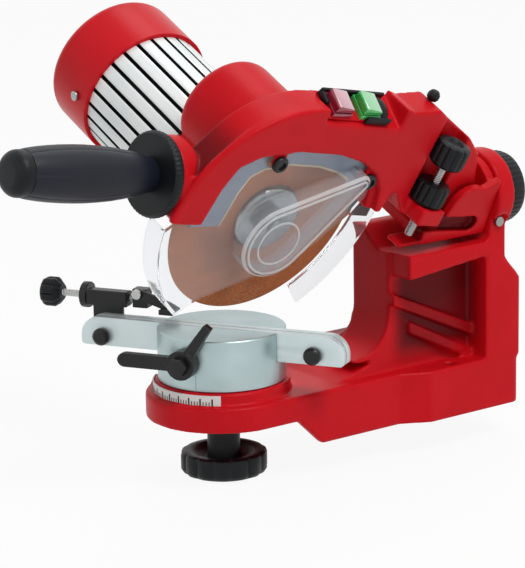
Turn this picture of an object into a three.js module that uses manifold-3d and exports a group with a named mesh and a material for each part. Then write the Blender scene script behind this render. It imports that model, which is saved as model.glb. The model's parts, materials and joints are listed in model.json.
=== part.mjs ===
// Bench grinder for saw chains: cast stand, swivelling chain vise and a tilting, swinging grinding head.
// Millimetres, +Z up, +X to the right of someone working at the front, +Y from the front to the back.
// The origin is the middle of the flat foot that is bolted to the bench.
import * as THREE from "three";
import { mergeVertices } from "three/addons/utils/BufferGeometryUtils.js";
import Module from "manifold-3d";

const wasm = await Module();
wasm.setup();

// Clearances and working values
const gap = 0.3;
const overrun = 2;
const wide = 400;
const fineSteps = 40;
const roundSteps = 24;
const coarseSteps = 16;
const smallSteps = 10;

// Pose of the machine
const viseTurnDeg = 30;
const headTiltDeg = 25.5;
const headLiftDeg = 12;

// Foot and arm of the stand
const footFront = 44.5;
const footRear = 212;
const footHeight = 36;
const footHalfWidth = 61.5;
const armHalfWidth = 51.6;
const jogFront = 112;
const jogRear = 131;
const footCornerRadius = 3;
const armUnderside = 18.7;
const armDropStart = 25;
const benchHoleRadius = 4.5;
const benchHoleX = 36;
const benchHoleInset = 17;
const pocketFront = 20;
const pocketWall = 7;
const pocketRoof = 8;
const webHalfWidth = 9;
const deckFront = 56;
const deckLeft = -34;
const deckHeight = 48;
const deckSideRun = 18;
const deckTail = 196;

// Rings under the turntable
const outerRingRadius = 51.6;
const innerRingRadius = 45.5;
const innerRingHeight = 8.2;
const ringLugAngleDeg = 211;
const ringLugWidth = 9;
const ringLugHeight = 4;
const scaleThickness = 0.7;
const scaleHalfAngleDeg = 52;
const scaleHeight = 7;

// Column of the stand
const columnLeft = 3;
const columnRight = 42;
const columnFront = 110;
const columnTop = 119;
const columnCrest = 134;
const columnCrestRight = 13;
const columnCrestEnd = 31;
const cheekDepthFront = 17;
const cheekDepthBack = 10;
const frameFront = 181;
const frameBevelBottom = 90;
const frameBevelTop = 106;
const frameRear = 198;
const columnFillet = 30;
const ribRise = 5;
const ribWidth = 7;
const ribShares = [[0, 0.66, 0.26], [0.2, 0.4, 0.04]];
const postFront = 184;
const postRadius = 29;
const postLeft = 15;
const sideScrewRadius = 3.6;
const sideScrewHeight = 2.4;
const sideScrewRecess = 6;
const sideScrewY = 190.5;
const sideScrewZ = 132;

// Turntable and rails of the vise
const tableRadius = 43;
const tableHeight = 34.4;
const railLeft = 100.5;
const railRight = 89;
const railHeight = 19.4;
const railThickness = 5.75;
const chainSlot = 1.5;
const railCornerRadius = 13;
const railEndRadius = 2.5;
const guideScrewLeft = 85;
const guideScrewRight = 68;
const guideScrewDrop = 13;
const guideScrewRadius = 2.5;
const guideHeadRadius = 6;
const guideHeadHeight = 4.5;
const headCrownShare = 0.7;
const headSideShare = 0.6;
const nutShare = 0.9;
const jawTravel = 0.8;
const indexWidth = 1;
const indexDepth = 0.5;

// Clamp lever of the vise
const clampX = -7;
const clampZ = 64;
const clampStudRadius = 3;
const clampHubRadius = 10;
const clampHubLength = 10;
const clampHandleLength = 46;
const clampHandleHeight = 9.4;
const clampHandleThickness = 6;
const clampFingerRise = 27;
const clampFingerRun = 19;
const clampFingerWidth = 8;
const clampNutRadius = 6.5;
const clampNutHeight = 5;

// Chain stop with its setting screw
const stopY = 14;
const stopZ = 88.5;
const sleeveRadius = 5.3;
const sleeveLeft = 108;
const sleeveRight = 73;
const stopFlangeRadius = 9;
const stopFlangeLength = 5;
const stopPlateThickness = 3.4;
const stopPlateLeft = 98;
const stopPlateRight = 76;
const stopPlateBottom = 61;
const stopScrewRadius = 2.5;
const stopKnobRadius = 10.2;
const stopKnobLength = 14;
const stopKnobOffset = 16;
const stopKnobSides = 8;
const stopNeckShare = 0.55;
const stopShoulderShare = 0.3;
const stopRimShare = 0.8;
const carrierLength = 11;
const carrierHeight = 13;
const carrierThickness = 9;
const stopTravel = 3;
const pawlLength = 30;
const pawlThickness = 3;
const pawlHeight = 7;
const pawlPinRadius = 1.8;
const pawlPinRise = 5.2;

// Lock knob under the vise
const lockBoltRadius = 5;
const lockBoltDepth = 12;
const lockWasherRadius = 12;
const lockWasherThickness = 2;
const lockNeckRadius = 11;
const lockKnobRadius = 29.3;
const lockKnobTop = -6.7;
const lockKnobHeight = 15.4;
const lockKnobDish = 5;
const lockKnobRim = 7;
const lockKnobHub = 12;
const lockKnobBevel = 4;

// Tilt bracket, its bolt and knob
const tiltAxisX = 42.3;
const tiltAxisZ = 151;
const bracketRear = 183.6;
const bracketWall = 7;
const bracketHalfWidth = 23;
const bracketFloorTop = -10.5;
const bracketFloorBottom = -19.5;
const bracketFront = 127;
const earRearTop = 24;
const earStepY = 138;
const earFrontTop = -9;
const earThickness = 6;
const earRadius = 17;
const hingeY = 162;
const hingeZ = 4;
const hingePinRadius = 5;
const hingeHeadRadius = 8.5;
const hingeHeadHeight = 4;
const anvilFront = 108;
const anvilTop = -16.6;
const anvilLeft = 9;
const anvilRight = 22;
const tiltBoltRadius = 5;
const tiltKnobRadius = 25;
const tiltKnobLength = 14.5;
const tiltKnobRounding = 4;

// Grinding disc and spindle
const discRadius = 72.5;
const discThickness = 3.2;
const discBoreRadius = 11.15;
const discCentreRise = 12.5;
const discEdge = 1.2;
const discEdgeShare = 0.4;
const flangeRadius = 25;
const flangeThickness = 4;
const flangeBevel = 2;
const spindleRadius = 6;
const spindleShoulder = 2;
const discNutRadius = 11;
const discNutHeight = 8;
const spindleNose = 16;
const hexSides = 6;

// Hood around the disc
const hoodNear = 14;
const hoodFar = 12;
const hoodBevel = 5;
const hoodWall = 4;
const hoodClearance = 7.5;
const hoodRim = 8;
const hoodOuterRadius = discRadius + hoodClearance + hoodRim;
const seatFarHeight = 89;
const seatNearHeight = 77;
const seatStart = 1;
const seatEnd = 68;

// Bell that carries the motor
const bellEnd = 60;
const bellRadius = 46;
const domeRadius = 35;
const domeY = -17;
const domeZ = 46;
const bellRounding = 9;
const bellFlareShare = 0.4;
const bellSliceShares = [[0, 0], [0.34, 0.06], [0.7, 0.3], [0.92, 0.62], [1, 1]];

// Arm from the hood to the hinge, in shares of the arm's length and of the hood's radius
const armHalfThickness = 16;
const armTopShares = [
  [0.125, 1], [0.325, 1.034], [0.375, 1.08], [0.474, 1.034], [0.612, 1.068], [0.674, 1.011], [0.861, 0.852],
  [0.955, 0.727],
];
const armLowShares = [[0.911, 1.43], [0.824, 1], [0.674, 1], [0.605, 2], [0.568, 2.14]];
const windowShares = [
  [0.955, 0.136], [0.886, 0.352], [0.773, 0.489], [0.557, 0.583], [0.307, 0.632], [-0.102, 0.636],
  [-0.443, 0.568], [-0.602, 0.474], [-0.67, 0.284], [-0.705, 0], [-0.75, -0.114],
];
const windowFloorShare = -0.114;
const tabReach = 16;
const lugHalfLength = 10.5;
const pocketHalfLength = 14;
const farTrimHeight = -2;
const hoodBackRadius = 52;
const knuckleRadius = 12.5;
const pocketDepth = 12.5;
const lugBottom = 14;
const lugTop = 26;
const lugReach = 29;
const studDepth = 18;

// Depth stop
const depthX = 17;
const depthInset = 41;
const depthY = hingeY - depthInset;
const depthScrewRadius = 3;
const depthScrewEnd = 0;
const depthKnobRadius = 12.3;
const depthKnobBottom = 56;
const depthKnobHeight = 17;
const depthNutHeight = 16;
const depthNutRadius = 12;
const knobDimple = 2;
const knobEdge = 2;
const knobCrown = 3;

// Motor
const motorEnd = 146;
const finRadius = 45;
const finCoreRadius = 41.5;
const finPitchDeg = 13.8;
const finSlotWidth = 3.4;
const finSteps = 80;
const closedSlots = [4, 5];
const motorBoreRadius = 36;
const statorWall = 12;
const statorEnd = 12;
const rotorGap = 0.6;
const capLength = 43;
const capRadius = 48;
const capWall = 3;
const capRounding = 8;
const capLap = 3;
const capScrewRadius = 3.5;
const capScrewHeight = 2.2;
const capScrewAngleDeg = 194;
const capScrewShare = 0.2;
const bearingRadius = 14;
const bearingWidth = 9;
const fanRadius = 33;
const fanHub = 11;
const fanThickness = 6;
const fanBlades = 8;
const fanBladeThickness = 2.4;
const fanBladeHeight = 9;
const fanBladeInset = 1;
const fanHubWall = 2;

// Handle
const handleX = -14.4;
const handleZ = 17;
const handleDropDeg = 2.4;
const handleBossRadius = 25;
const handleBossDepth = 14;
const handleBossProud = 1;
const handleBossEnd = hoodOuterRadius + handleBossProud;
const handleNeckRadius = 15;
const handleFlangeRadius = 27.5;
const handleFlangeThickness = 6.5;
const handleFlangeBevel = 2;
const handleFlangeLip = 3;
const gripStandOff = 9;
const gripReach = 116;
const gripSwellReach = 65;
const gripStart = handleBossEnd + gripStandOff;
const gripEnd = handleBossEnd + gripReach;
const gripNeckRadius = 11;
const gripShoulderRadius = 14;
const gripSwellRadius = 18;
const gripSwellY = handleBossEnd + gripSwellReach;
const gripSwellEase = 1;
const gripSwellOutward = 26;
const gripSwellInward = 20;
const gripShoulderLength = 12;
const gripEndRadius = 14.6;
const gripCapLength = 11;
const gripCapRounding = 7;
const gripCapCornerShares = [0.3, 0.35];
const handleStudRadius = 4;

// Clear guards
const guardSheet = 2.4;
const guardRimProud = 6.5;
const guardRimRadius = discRadius + hoodClearance + guardRimProud;
const guardStart = 187;
const guardFinish = 239;
const guardShares = [
  [-0.358, -0.705], [0.092, -0.486], [0.358, -0.416], [0.59, -0.116], [0.763, 0.116], [0.832, 0.277],
  [0.809, 0.405], [0.682, 0.601], [0.3, 0.763], [-0.347, 0.786], [-0.659, 0.601], [-0.867, 0.231],
  [-0.902, -0.035],
];
const bulgeHeight = 14;
const bulgeShare = 0.312;
const bulgeTipShare = 0.069;
const bulgeDropShare = -0.081;
const bulgeTipShares = [0.578, 0.462];
const bulgeRadius = guardRimRadius * bulgeShare;
const bulgeTipRadius = guardRimRadius * bulgeTipShare;
const bulgeZ = guardRimRadius * bulgeDropShare;
const bulgeTipY = guardRimRadius * bulgeTipShares[0];
const bulgeTipZ = guardRimRadius * bulgeTipShares[1];
const bulgeSteps = 8;
const guardScrewRadius = 5.6;
const guardScrewHeight = 3.4;
const guardScrewShank = 2;
const screwOneShares = [-0.239, 0.523];
const screwTwoShares = [0.727, 0.42];
const screwOneY = hoodOuterRadius * screwOneShares[0];
const screwOneZ = hoodOuterRadius * screwOneShares[1];
const screwTwoY = hoodOuterRadius * screwTwoShares[0];
const screwTwoZ = hoodOuterRadius * screwTwoShares[1];
const farGuardOffset = 7;
const farGuardWidth = 20;
const farGuardInner = hoodOuterRadius + farGuardOffset;
const farGuardOuter = farGuardInner + farGuardWidth;
const farGuardStart = -43;
const farGuardFinish = 1;
const clipY = farGuardInner + farGuardWidth / 3;
const clipZ = 1;
const clipLength = 20;
const clipHeight = 17;
const clipThickness = 5;

// Switch
const switchY = 31;
const switchLength = 56;
const switchWidth = 22;
const switchDepth = 7;
const buttonSize = 15;
const buttonRise = 4.5;
const buttonTravel = 2;
const buttonStepShare = 0.6;
const buttonTopShare = 0.8;
const redButtonShift = -17;
const greenButtonShift = 8;
const switchHoodHeight = 9;
const plugRadius = 4.4;
const plugShare = 0.618;
const plugSeatShare = 1.07;
const plugOutlineShares = [[0, 0], [0.7, 0], [1, 0.5], [1, 1], [0.6, 1.6], [0, 1.7]];
const glandRadius = 7;
const glandLength = 16;
const glandBore = 3.6;
const glandTipShare = 0.7;
const glandY = 128;
const glandZ = 62;

const footMiddleY = (footFront + footRear) / 2;
const ringTop = footHeight;
const tableBottom = ringTop + innerRingHeight + gap;
const tableTop = tableBottom + tableHeight;
const railBottom = tableTop - railHeight;
const radians = (degrees) => THREE.MathUtils.degToRad(degrees);

// Axis order for a shape drawn flat: along X it is drawn in Y and Z, along Y in Z and X, along Z in X and Y.
const turnTo = {
  x: new THREE.Matrix4().makeBasis(
    new THREE.Vector3(0, 1, 0), new THREE.Vector3(0, 0, 1), new THREE.Vector3(1, 0, 0)),
  y: new THREE.Matrix4().makeBasis(
    new THREE.Vector3(0, 0, 1), new THREE.Vector3(1, 0, 0), new THREE.Vector3(0, 1, 0)),
  z: new THREE.Matrix4(),
};

function moved(geometry, x, y, z) {
  return geometry.translate(x, y, z);
}

function prism(axis, points, from, to) {
  const shape = new THREE.Shape(points.map(([a, b]) => new THREE.Vector2(a, b)));
  const options = { depth: to - from, bevelEnabled: false, curveSegments: coarseSteps };
  const body = new THREE.ExtrudeGeometry(shape, options);
  return body.translate(0, 0, from).applyMatrix4(turnTo[axis]);
}

function rounded(axis, points, from, to, bevel) {
  const shape = new THREE.Shape(points.map(([a, b]) => new THREE.Vector2(a, b)));
  const options = {
    depth: to - from - bevel * 2,
    bevelEnabled: true,
    bevelThickness: bevel,
    bevelSize: bevel,
    bevelOffset: -bevel,
    bevelSegments: 2,
  };
  const body = new THREE.ExtrudeGeometry(shape, options);
  return body.translate(0, 0, from + bevel).applyMatrix4(turnTo[axis]);
}

function turned(axis, profile, steps = roundSteps) {
  const points = profile.map(([r, along]) => new THREE.Vector2(r, along));
  const ordered = THREE.ShapeUtils.area(points) < 0 ? points.reverse() : points;
  const body = new THREE.LatheGeometry([...ordered, ordered[0]], steps);
  return body.rotateX(Math.PI / 2).applyMatrix4(turnTo[axis]);
}

function rod(axis, radius, from, to, steps = roundSteps) {
  return turned(axis, [[0, from], [radius, from], [radius, to], [0, to]], steps);
}

function block(x0, x1, y0, y1, z0, z1) {
  const body = new THREE.BoxGeometry(x1 - x0, y1 - y0, z1 - z0);
  return body.translate((x0 + x1) / 2, (y0 + y1) / 2, (z0 + z1) / 2);
}

function arc(cx, cy, radius, fromDeg, toDeg, steps = smallSteps) {
  const span = toDeg - fromDeg;
  const angles = Array.from({ length: steps + 1 }, (_, i) => radians(fromDeg + (span * i) / steps));
  return angles.map((angle) => [cx + radius * Math.cos(angle), cy + radius * Math.sin(angle)]);
}

function sized(shares, width, height) {
  return shares.map(([a, b]) => [a * width, b * height]);
}

function solidOf(body) {
  if (body instanceof wasm.Manifold) return body;
  body.deleteAttribute("normal");
  body.deleteAttribute("uv");
  const merged = mergeVertices(body);
  const vertProperties = new Float32Array(merged.getAttribute("position").array);
  const corners = Array.from(merged.index.array);
  const faces = corners.flatMap((_, i) => {
    const face = corners.slice(i, i + 3);
    return i % 3 === 0 && new Set(face).size === 3 ? [face] : [];
  });
  const triVerts = new Uint32Array(faces.flat());
  return new wasm.Manifold(new wasm.Mesh({ numProp: 3, vertProperties, triVerts }));
}

function join(...bodies) {
  return bodies.map(solidOf).reduce((sum, body) => sum.add(body));
}

function cut(base, ...tools) {
  return tools.map(solidOf).reduce((rest, tool) => rest.subtract(tool), solidOf(base));
}

function common(a, b) {
  return solidOf(a).intersect(solidOf(b));
}

const looks = {
  red: { color: 0xc8202a, roughness: 0.38, metalness: 0 },
  black: { color: 0x15171a, roughness: 0.55, metalness: 0 },
  aluminium: { color: 0xc9d2d2, roughness: 0.4, metalness: 0.8 },
  steel: { color: 0x9aa0a6, roughness: 0.3, metalness: 0.9 },
  clear: { color: 0xe6ecee, roughness: 0.08, metalness: 0, transparent: true, opacity: 0.35 },
  abrasive: { color: 0xa4603a, roughness: 0.9, metalness: 0 },
  white: { color: 0xf0efec, roughness: 0.5, metalness: 0 },
  copper: { color: 0x9a5a32, roughness: 0.4, metalness: 0.7 },
  green: { color: 0x2f9a4a, roughness: 0.35, metalness: 0 },
  stopRed: { color: 0xa01838, roughness: 0.35, metalness: 0 },
};

function piece(parent, name, look, body) {
  const { vertProperties, triVerts } = solidOf(body).getMesh();
  const geometry = new THREE.BufferGeometry();
  geometry.setAttribute("position", new THREE.BufferAttribute(new Float32Array(vertProperties), 3));
  geometry.setIndex(new THREE.BufferAttribute(new Uint32Array(triVerts), 1));
  geometry.computeVertexNormals();
  const mesh = new THREE.Mesh(geometry, new THREE.MeshStandardMaterial(looks[look]));
  mesh.name = name;
  parent.add(mesh);
  return mesh;
}

const machine = new THREE.Group();
machine.position.set(0, -footMiddleY, 0);
const vise = new THREE.Group();
vise.rotation.z = radians(viseTurnDeg);
const tilting = new THREE.Group();
tilting.position.set(tiltAxisX, 0, tiltAxisZ);
tilting.rotation.y = radians(headTiltDeg);
const head = new THREE.Group();
head.position.set(0, 0, discCentreRise);
head.rotation.x = -radians(headLiftDeg);
tilting.add(head);
machine.add(vise, tilting);

// Cast stand: foot, arm, rings, column and the post behind the tilt bracket
function makeStand() {
  const sideProfile = [
    [0, armUnderside], [armDropStart, armUnderside], [footFront, 0], [jogRear, 0], [jogRear, footHeight],
    [0, footHeight],
  ];
  const arm = prism("x", sideProfile, -armHalfWidth, armHalfWidth);
  const corner = footRear - footCornerRadius;
  const inner = footHalfWidth - footCornerRadius;
  const footPlan = [
    [-armHalfWidth, jogFront], [armHalfWidth, jogFront], [footHalfWidth, jogRear],
    ...arc(inner, corner, footCornerRadius, 0, 90, 5), ...arc(-inner, corner, footCornerRadius, 90, 180, 5),
    [-footHalfWidth, jogRear],
  ];
  const foot = prism("z", footPlan, 0, footHeight);
  const ring = rod("z", outerRingRadius, armUnderside, ringTop, fineSteps);
  const innerRing = rod("z", innerRingRadius, armUnderside, ringTop + innerRingHeight, fineSteps);
  const lugAngle = radians(ringLugAngleDeg);
  const lugMiddle = (outerRingRadius + innerRingRadius) / 2;
  const ringLug = moved(
    rod("z", ringLugWidth / 2, armUnderside, ringTop + ringLugHeight, smallSteps),
    (lugMiddle - ringLugWidth / 4) * Math.cos(lugAngle),
    (lugMiddle - ringLugWidth / 4) * Math.sin(lugAngle),
    0,
  );
  const deckSide = prism("x", [
    [deckFront, footHeight - overrun], [columnFront, deckHeight], [frameFront, deckHeight],
    [deckTail, footHeight - overrun],
  ], deckLeft - deckSideRun, columnRight);
  const deckEnd = prism("y", [
    [footHeight - overrun, deckLeft - deckSideRun], [deckHeight, deckLeft], [deckHeight, columnRight],
    [footHeight - overrun, columnRight],
  ], deckFront, deckTail);
  const deck = common(deckSide, deckEnd);
  const core = block(
    columnLeft, columnRight, columnFront, frameFront + overrun, footHeight - overrun, columnTop);
  const crest = prism("y", [
    [columnTop - overrun, columnLeft], [columnCrest, columnLeft], [columnCrest, columnCrestRight],
    [columnTop, columnCrestEnd], [columnTop - overrun, columnCrestEnd],
  ], columnFront, bracketRear);
  const cheekProfile = [
    [columnFront + overrun, columnTop - cheekDepthFront], [frameFront + overrun, columnTop - cheekDepthBack],
    [frameFront + overrun, columnTop], [columnFront + overrun, columnTop],
  ];
  const cheek = prism("x", cheekProfile, columnLeft, footHalfWidth);
  const frameProfile = [
    [frameFront, footHeight - overrun], [footRear, footHeight - overrun], [footRear, frameBevelBottom],
    [frameRear, frameBevelTop], [frameRear, sideScrewZ + sideScrewRadius], [frameFront, columnTop],
  ];
  const frame = prism("x", frameProfile, columnLeft, footHalfWidth);
  const post = join(
    moved(rod("y", postRadius, postFront, frameRear, fineSteps), tiltAxisX, 0, tiltAxisZ),
    block(postLeft, footHalfWidth, postFront, frameRear, columnTop - overrun, tiltAxisZ),
  );
  const bend = [
    [-overrun, -overrun], [columnFillet, -overrun],
    ...arc(columnFillet, columnFillet, columnFillet, 270, 180, 6), [-overrun, columnFillet],
  ];
  const frontBend = prism("x", bend.map(([a, b]) => [columnFront - a, deckHeight + b]),
    columnLeft, columnRight);
  const leftBend = prism("y", bend.map(([a, b]) => [deckHeight + b, columnLeft - a]),
    columnFront, frameFront);
  const ribs = ribShares.map(([startShare, topShare, endShare]) => {
    const depth = frameFront - columnFront;
    const height = columnTop - footHeight;
    const y0 = columnFront + depth * startShare;
    const y1 = frameFront + overrun;
    const z0 = footHeight + height * topShare;
    const z1 = footHeight + height * endShare;
    return prism("x", [[y0, z0 - ribWidth], [y1, z1 - ribWidth], [y1, z1], [y0, z0]],
      columnRight - overrun, columnRight + ribRise);
  });
  const pocketHalf = armHalfWidth - pocketWall;
  const slopePocket = block(
    -pocketHalf, pocketHalf, pocketFront, jogFront - pocketWall, -overrun, armUnderside);
  const padPockets = [[-pocketHalf, -webHalfWidth], [webHalfWidth, pocketHalf]].map(([x0, x1]) => block(
    x0, x1, jogFront + pocketWall, footRear - pocketWall * 2, -overrun, footHeight - pocketRoof));
  const columnPocket = block(webHalfWidth, columnRight - pocketWall, columnFront + pocketWall,
    frameFront - pocketWall, -overrun, columnTop - pocketRoof * 2);
  const lockBore = rod("z", lockBoltRadius + gap, -overrun, tableTop);
  const tiltBore = moved(rod("y", tiltBoltRadius + gap, postFront - overrun, wide), tiltAxisX, 0, tiltAxisZ);
  const holes = [
    [-benchHoleX, footFront + benchHoleInset / 2], [-benchHoleX, footRear - benchHoleInset],
    [(columnRight + footHalfWidth) / 2, (jogRear + frameFront) / 2],
  ].map(([x, y]) => moved(rod("z", benchHoleRadius, -overrun, deckHeight + overrun, coarseSteps), x, y, 0));
  const sideBore = moved(
    rod("x", sideScrewRadius / 2 + gap, footHalfWidth - ribWidth, wide, smallSteps), 0, sideScrewY, sideScrewZ);
  const screwRecess = moved(
    rod("x", sideScrewRecess, footHalfWidth, wide, smallSteps), 0, sideScrewY, sideScrewZ);
  const casting = cut(
    join(arm, foot, ring, innerRing, ringLug, deck, core, crest, cheek, frame, post, frontBend, leftBend,
      ...ribs),
    slopePocket, ...padPockets, columnPocket, screwRecess, lockBore, tiltBore, sideBore, ...holes,
  );
  piece(machine, "stand", "red", casting);

  const plate = [
    ...arc(0, 0, innerRingRadius + gap + scaleThickness, 270 - scaleHalfAngleDeg, 270 + scaleHalfAngleDeg, 16),
    ...arc(0, 0, innerRingRadius + gap, 270 + scaleHalfAngleDeg, 270 - scaleHalfAngleDeg, 16),
  ];
  piece(machine, "angle_scale", "white", prism("z", plate, ringTop + gap, ringTop + gap + scaleHeight));

  const sideScrew = join(
    rod("x", sideScrewRadius, footHalfWidth + gap, footHalfWidth + gap + sideScrewHeight, smallSteps),
    rod("x", sideScrewRadius / 2, footHalfWidth - ribWidth + gap, footHalfWidth + gap + overrun / 2, smallSteps),
  );
  const screwMesh = piece(machine, "tilt_stop_screw", "steel", sideScrew);
  screwMesh.position.set(0, sideScrewY, sideScrewZ);
}

// Turntable with the two rails that hold the chain
function railOutline() {
  const top = tableTop;
  const bottom = railBottom;
  return [
    ...arc(railRight - railCornerRadius, top - railCornerRadius, railCornerRadius, 0, 90, 6),
    ...arc(-railLeft + railCornerRadius, top - railCornerRadius, railCornerRadius, 90, 180, 6),
    ...arc(-railLeft + railEndRadius, bottom + railEndRadius, railEndRadius, 180, 270, 2),
    ...arc(railRight - railEndRadius, bottom + railEndRadius, railEndRadius, 270, 360, 2),
  ];
}

function makeRail(name, from, to) {
  const holes = [
    moved(rod("y", guideScrewRadius + gap, -wide, wide, smallSteps),
      -guideScrewLeft, 0, tableTop - guideScrewDrop),
    moved(rod("y", guideScrewRadius + gap, -wide, wide, smallSteps),
      guideScrewRight, 0, tableTop - guideScrewDrop),
    moved(rod("y", clampStudRadius + gap, -wide, wide, smallSteps), clampX, 0, clampZ),
  ];
  const outline = railOutline().map(([x, z]) => [z, x]).reverse();
  piece(vise, name, "aluminium", cut(prism("y", outline, from, to), ...holes));
}

function makeVise() {
  const half = chainSlot / 2;
  const trough = half + railThickness + gap + jawTravel;
  const table = cut(
    rod("z", tableRadius, tableBottom, tableTop, fineSteps),
    block(-wide, wide, -trough, half + railThickness + gap, railBottom - gap, wide),
    rod("z", lockBoltRadius + gap, 0, tableBottom + lockBoltDepth, coarseSteps),
    moved(rod("y", clampStudRadius + gap, -wide, wide, smallSteps), clampX, 0, clampZ),
    block(-indexWidth / 2, indexWidth / 2, -wide, indexDepth - tableRadius,
      0, tableBottom + innerRingHeight * 2),
  );
  piece(vise, "turntable", "aluminium", table);
  makeRail("rear_rail", half, half + railThickness);
  makeRail("front_jaw", -half - railThickness, -half);

  [["guide_screw_left", -guideScrewLeft], ["guide_screw_right", guideScrewRight]].forEach(([name, x]) => {
    const front = half + railThickness + jawTravel + gap / 2;
    const back = half + railThickness + gap + (x < 0 ? stopPlateThickness + gap : 0);
    const screw = join(
      turned("y", [
        [0, -front - guideHeadHeight], [guideHeadRadius * headCrownShare, -front - guideHeadHeight],
        [guideHeadRadius, -front - guideHeadHeight * headSideShare], [guideHeadRadius, -front], [0, -front],
      ], coarseSteps),
      rod("y", guideScrewRadius, -front - overrun / 2, back + overrun / 2, smallSteps),
      rod("y", guideHeadRadius * nutShare, back, back + guideHeadHeight, hexSides),
    );
    const mesh = piece(vise, name, "black", screw);
    mesh.position.set(x, 0, tableTop - guideScrewDrop);
  });

  const hubBack = -tableRadius - gap;
  const hubFront = hubBack - clampHubLength;
  const stud = join(
    rod("y", clampStudRadius, hubFront - clampNutHeight, tableRadius + gap + overrun, smallSteps),
    rod("y", clampNutRadius, hubFront - clampNutHeight - gap, hubFront - gap, hexSides),
    rod("y", clampNutRadius, tableRadius + gap, tableRadius + gap + clampNutHeight, hexSides),
  );
  const studMesh = piece(vise, "clamp_stud", "steel", stud);
  studMesh.position.set(clampX, 0, clampZ);

  const gripMiddle = hubBack - clampHubLength / 2;
  const handleHalf = clampHandleHeight / 2;
  const handle = prism("y", [
    [-handleHalf, 0], [handleHalf, 0], [handleHalf, -clampHandleLength + handleHalf],
    ...arc(0, -clampHandleLength + handleHalf, handleHalf, 0, -180, 6).slice(1),
  ].reverse(), gripMiddle - clampHandleThickness / 2, gripMiddle + clampHandleThickness / 2);
  const lean = Math.atan2(clampFingerRun, clampFingerRise);
  const fingerLength = Math.hypot(clampFingerRun, clampFingerRise);
  const finger = prism("y", [
    [0, -clampFingerWidth / 2], [0, clampFingerWidth / 2], [fingerLength, clampFingerWidth / 3],
    [fingerLength, -clampFingerWidth / 3],
  ].reverse(), gripMiddle - clampHandleThickness / 2, gripMiddle + clampHandleThickness / 2).rotateY(lean);
  const lever = cut(
    join(rod("y", clampHubRadius, hubFront, hubBack, coarseSteps), handle, finger),
    rod("y", clampStudRadius + gap, -wide, wide, smallSteps),
  );
  const leverMesh = piece(vise, "clamp_lever", "black", lever);
  leverMesh.position.set(clampX, 0, clampZ);
}

// Chain stop on the back of the rear rail, with the screw that sets it
function makeStop() {
  const railBack = chainSlot / 2 + railThickness + gap;
  const bracket = cut(
    join(
      block(-stopPlateLeft, -stopPlateRight, railBack, railBack + stopPlateThickness, stopPlateBottom, stopZ),
      block(-sleeveLeft + gap, -sleeveRight, railBack, stopY, stopZ - sleeveRadius, stopZ + sleeveRadius),
      moved(rod("x", sleeveRadius, -sleeveLeft, -sleeveRight, coarseSteps), 0, stopY, stopZ),
      moved(rod("x", stopFlangeRadius, -sleeveLeft, -sleeveLeft + stopFlangeLength, coarseSteps),
        0, stopY, stopZ),
    ),
    moved(rod("x", stopScrewRadius + gap, -wide, wide, smallSteps), 0, stopY, stopZ),
    moved(rod("y", guideScrewRadius + gap, 0, wide, smallSteps), -guideScrewLeft, 0, tableTop - guideScrewDrop),
  );
  piece(vise, "stop_bracket", "black", bracket);

  const carrierLeft = -sleeveRight + stopTravel + gap;
  const carrierRight = carrierLeft + carrierLength;
  const knobRight = -sleeveLeft - stopKnobOffset;
  const screwEnd = carrierRight - stopTravel - overrun;
  const screw = rod("x", stopScrewRadius, knobRight - stopKnobLength / 2, screwEnd, smallSteps);
  const knob = turned("x", [
    [stopScrewRadius + gap, knobRight - stopKnobLength / 2 - gap], [stopScrewRadius + gap, knobRight],
    [stopKnobRadius * stopNeckShare, knobRight],
    [stopKnobRadius, knobRight - stopKnobLength * stopShoulderShare],
    [stopKnobRadius, knobRight - stopKnobLength * stopRimShare],
    [stopKnobRadius * stopRimShare, knobRight - stopKnobLength],
    [0, knobRight - stopKnobLength], [0, knobRight - stopKnobLength / 2 - gap],
  ], stopKnobSides);
  piece(vise, "stop_screw", "steel", screw).position.set(0, stopY, stopZ);
  piece(vise, "stop_knob", "black", knob).position.set(0, stopY, stopZ);

  const carrierBottom = stopZ - sleeveRadius;
  const carrier = cut(
    block(carrierLeft, carrierRight, stopY - carrierThickness / 2, stopY + carrierThickness / 2,
      carrierBottom, carrierBottom + carrierHeight),
    moved(rod("x", stopScrewRadius + gap, carrierLeft - overrun, carrierRight - overrun + gap, smallSteps),
      0, stopY, stopZ),
    moved(rod("y", pawlPinRadius + gap, -wide, wide, smallSteps), (carrierLeft + carrierRight) / 2, 0,
      stopZ + pawlPinRise),
  );
  piece(vise, "stop_carrier", "black", carrier);

  const pinX = (carrierLeft + carrierRight) / 2;
  const pinZ = stopZ + pawlPinRise;
  const pawlFront = stopY - carrierThickness / 2 - gap;
  const pawlBack = pawlFront - pawlThickness;
  const eye = pawlHeight / 2;
  const tipDrop = pinZ - tableTop - overrun * 2;
  const pawlSide = [
    ...arc(0, 0, eye, 60, 250, 8), [pawlLength - eye * 2, -tipDrop], [pawlLength, -tipDrop],
    [pawlLength, -tipDrop + eye], [pawlLength - eye * 2, -tipDrop + eye * 2],
  ];
  const pawl = cut(
    join(
      prism("y", pawlSide.map(([x, z]) => [z, x]).reverse(), pawlBack, pawlFront),
      block(pawlLength - eye * 3, pawlLength, -railThickness / 2, pawlFront, -tipDrop, -tipDrop + eye),
    ),
    rod("y", pawlPinRadius + gap, -wide, wide, smallSteps),
  );
  piece(vise, "stop_pawl", "black", pawl).position.set(pinX, 0, pinZ);
  const pin = join(
    rod("y", pawlPinRadius, pawlBack - overrun, stopY + carrierThickness / 2 + gap, smallSteps),
    rod("y", pawlPinRadius * 2, pawlBack - gap - overrun, pawlBack - gap, smallSteps),
  );
  piece(vise, "pawl_pin", "steel", pin).position.set(pinX, 0, pinZ);
}

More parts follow.
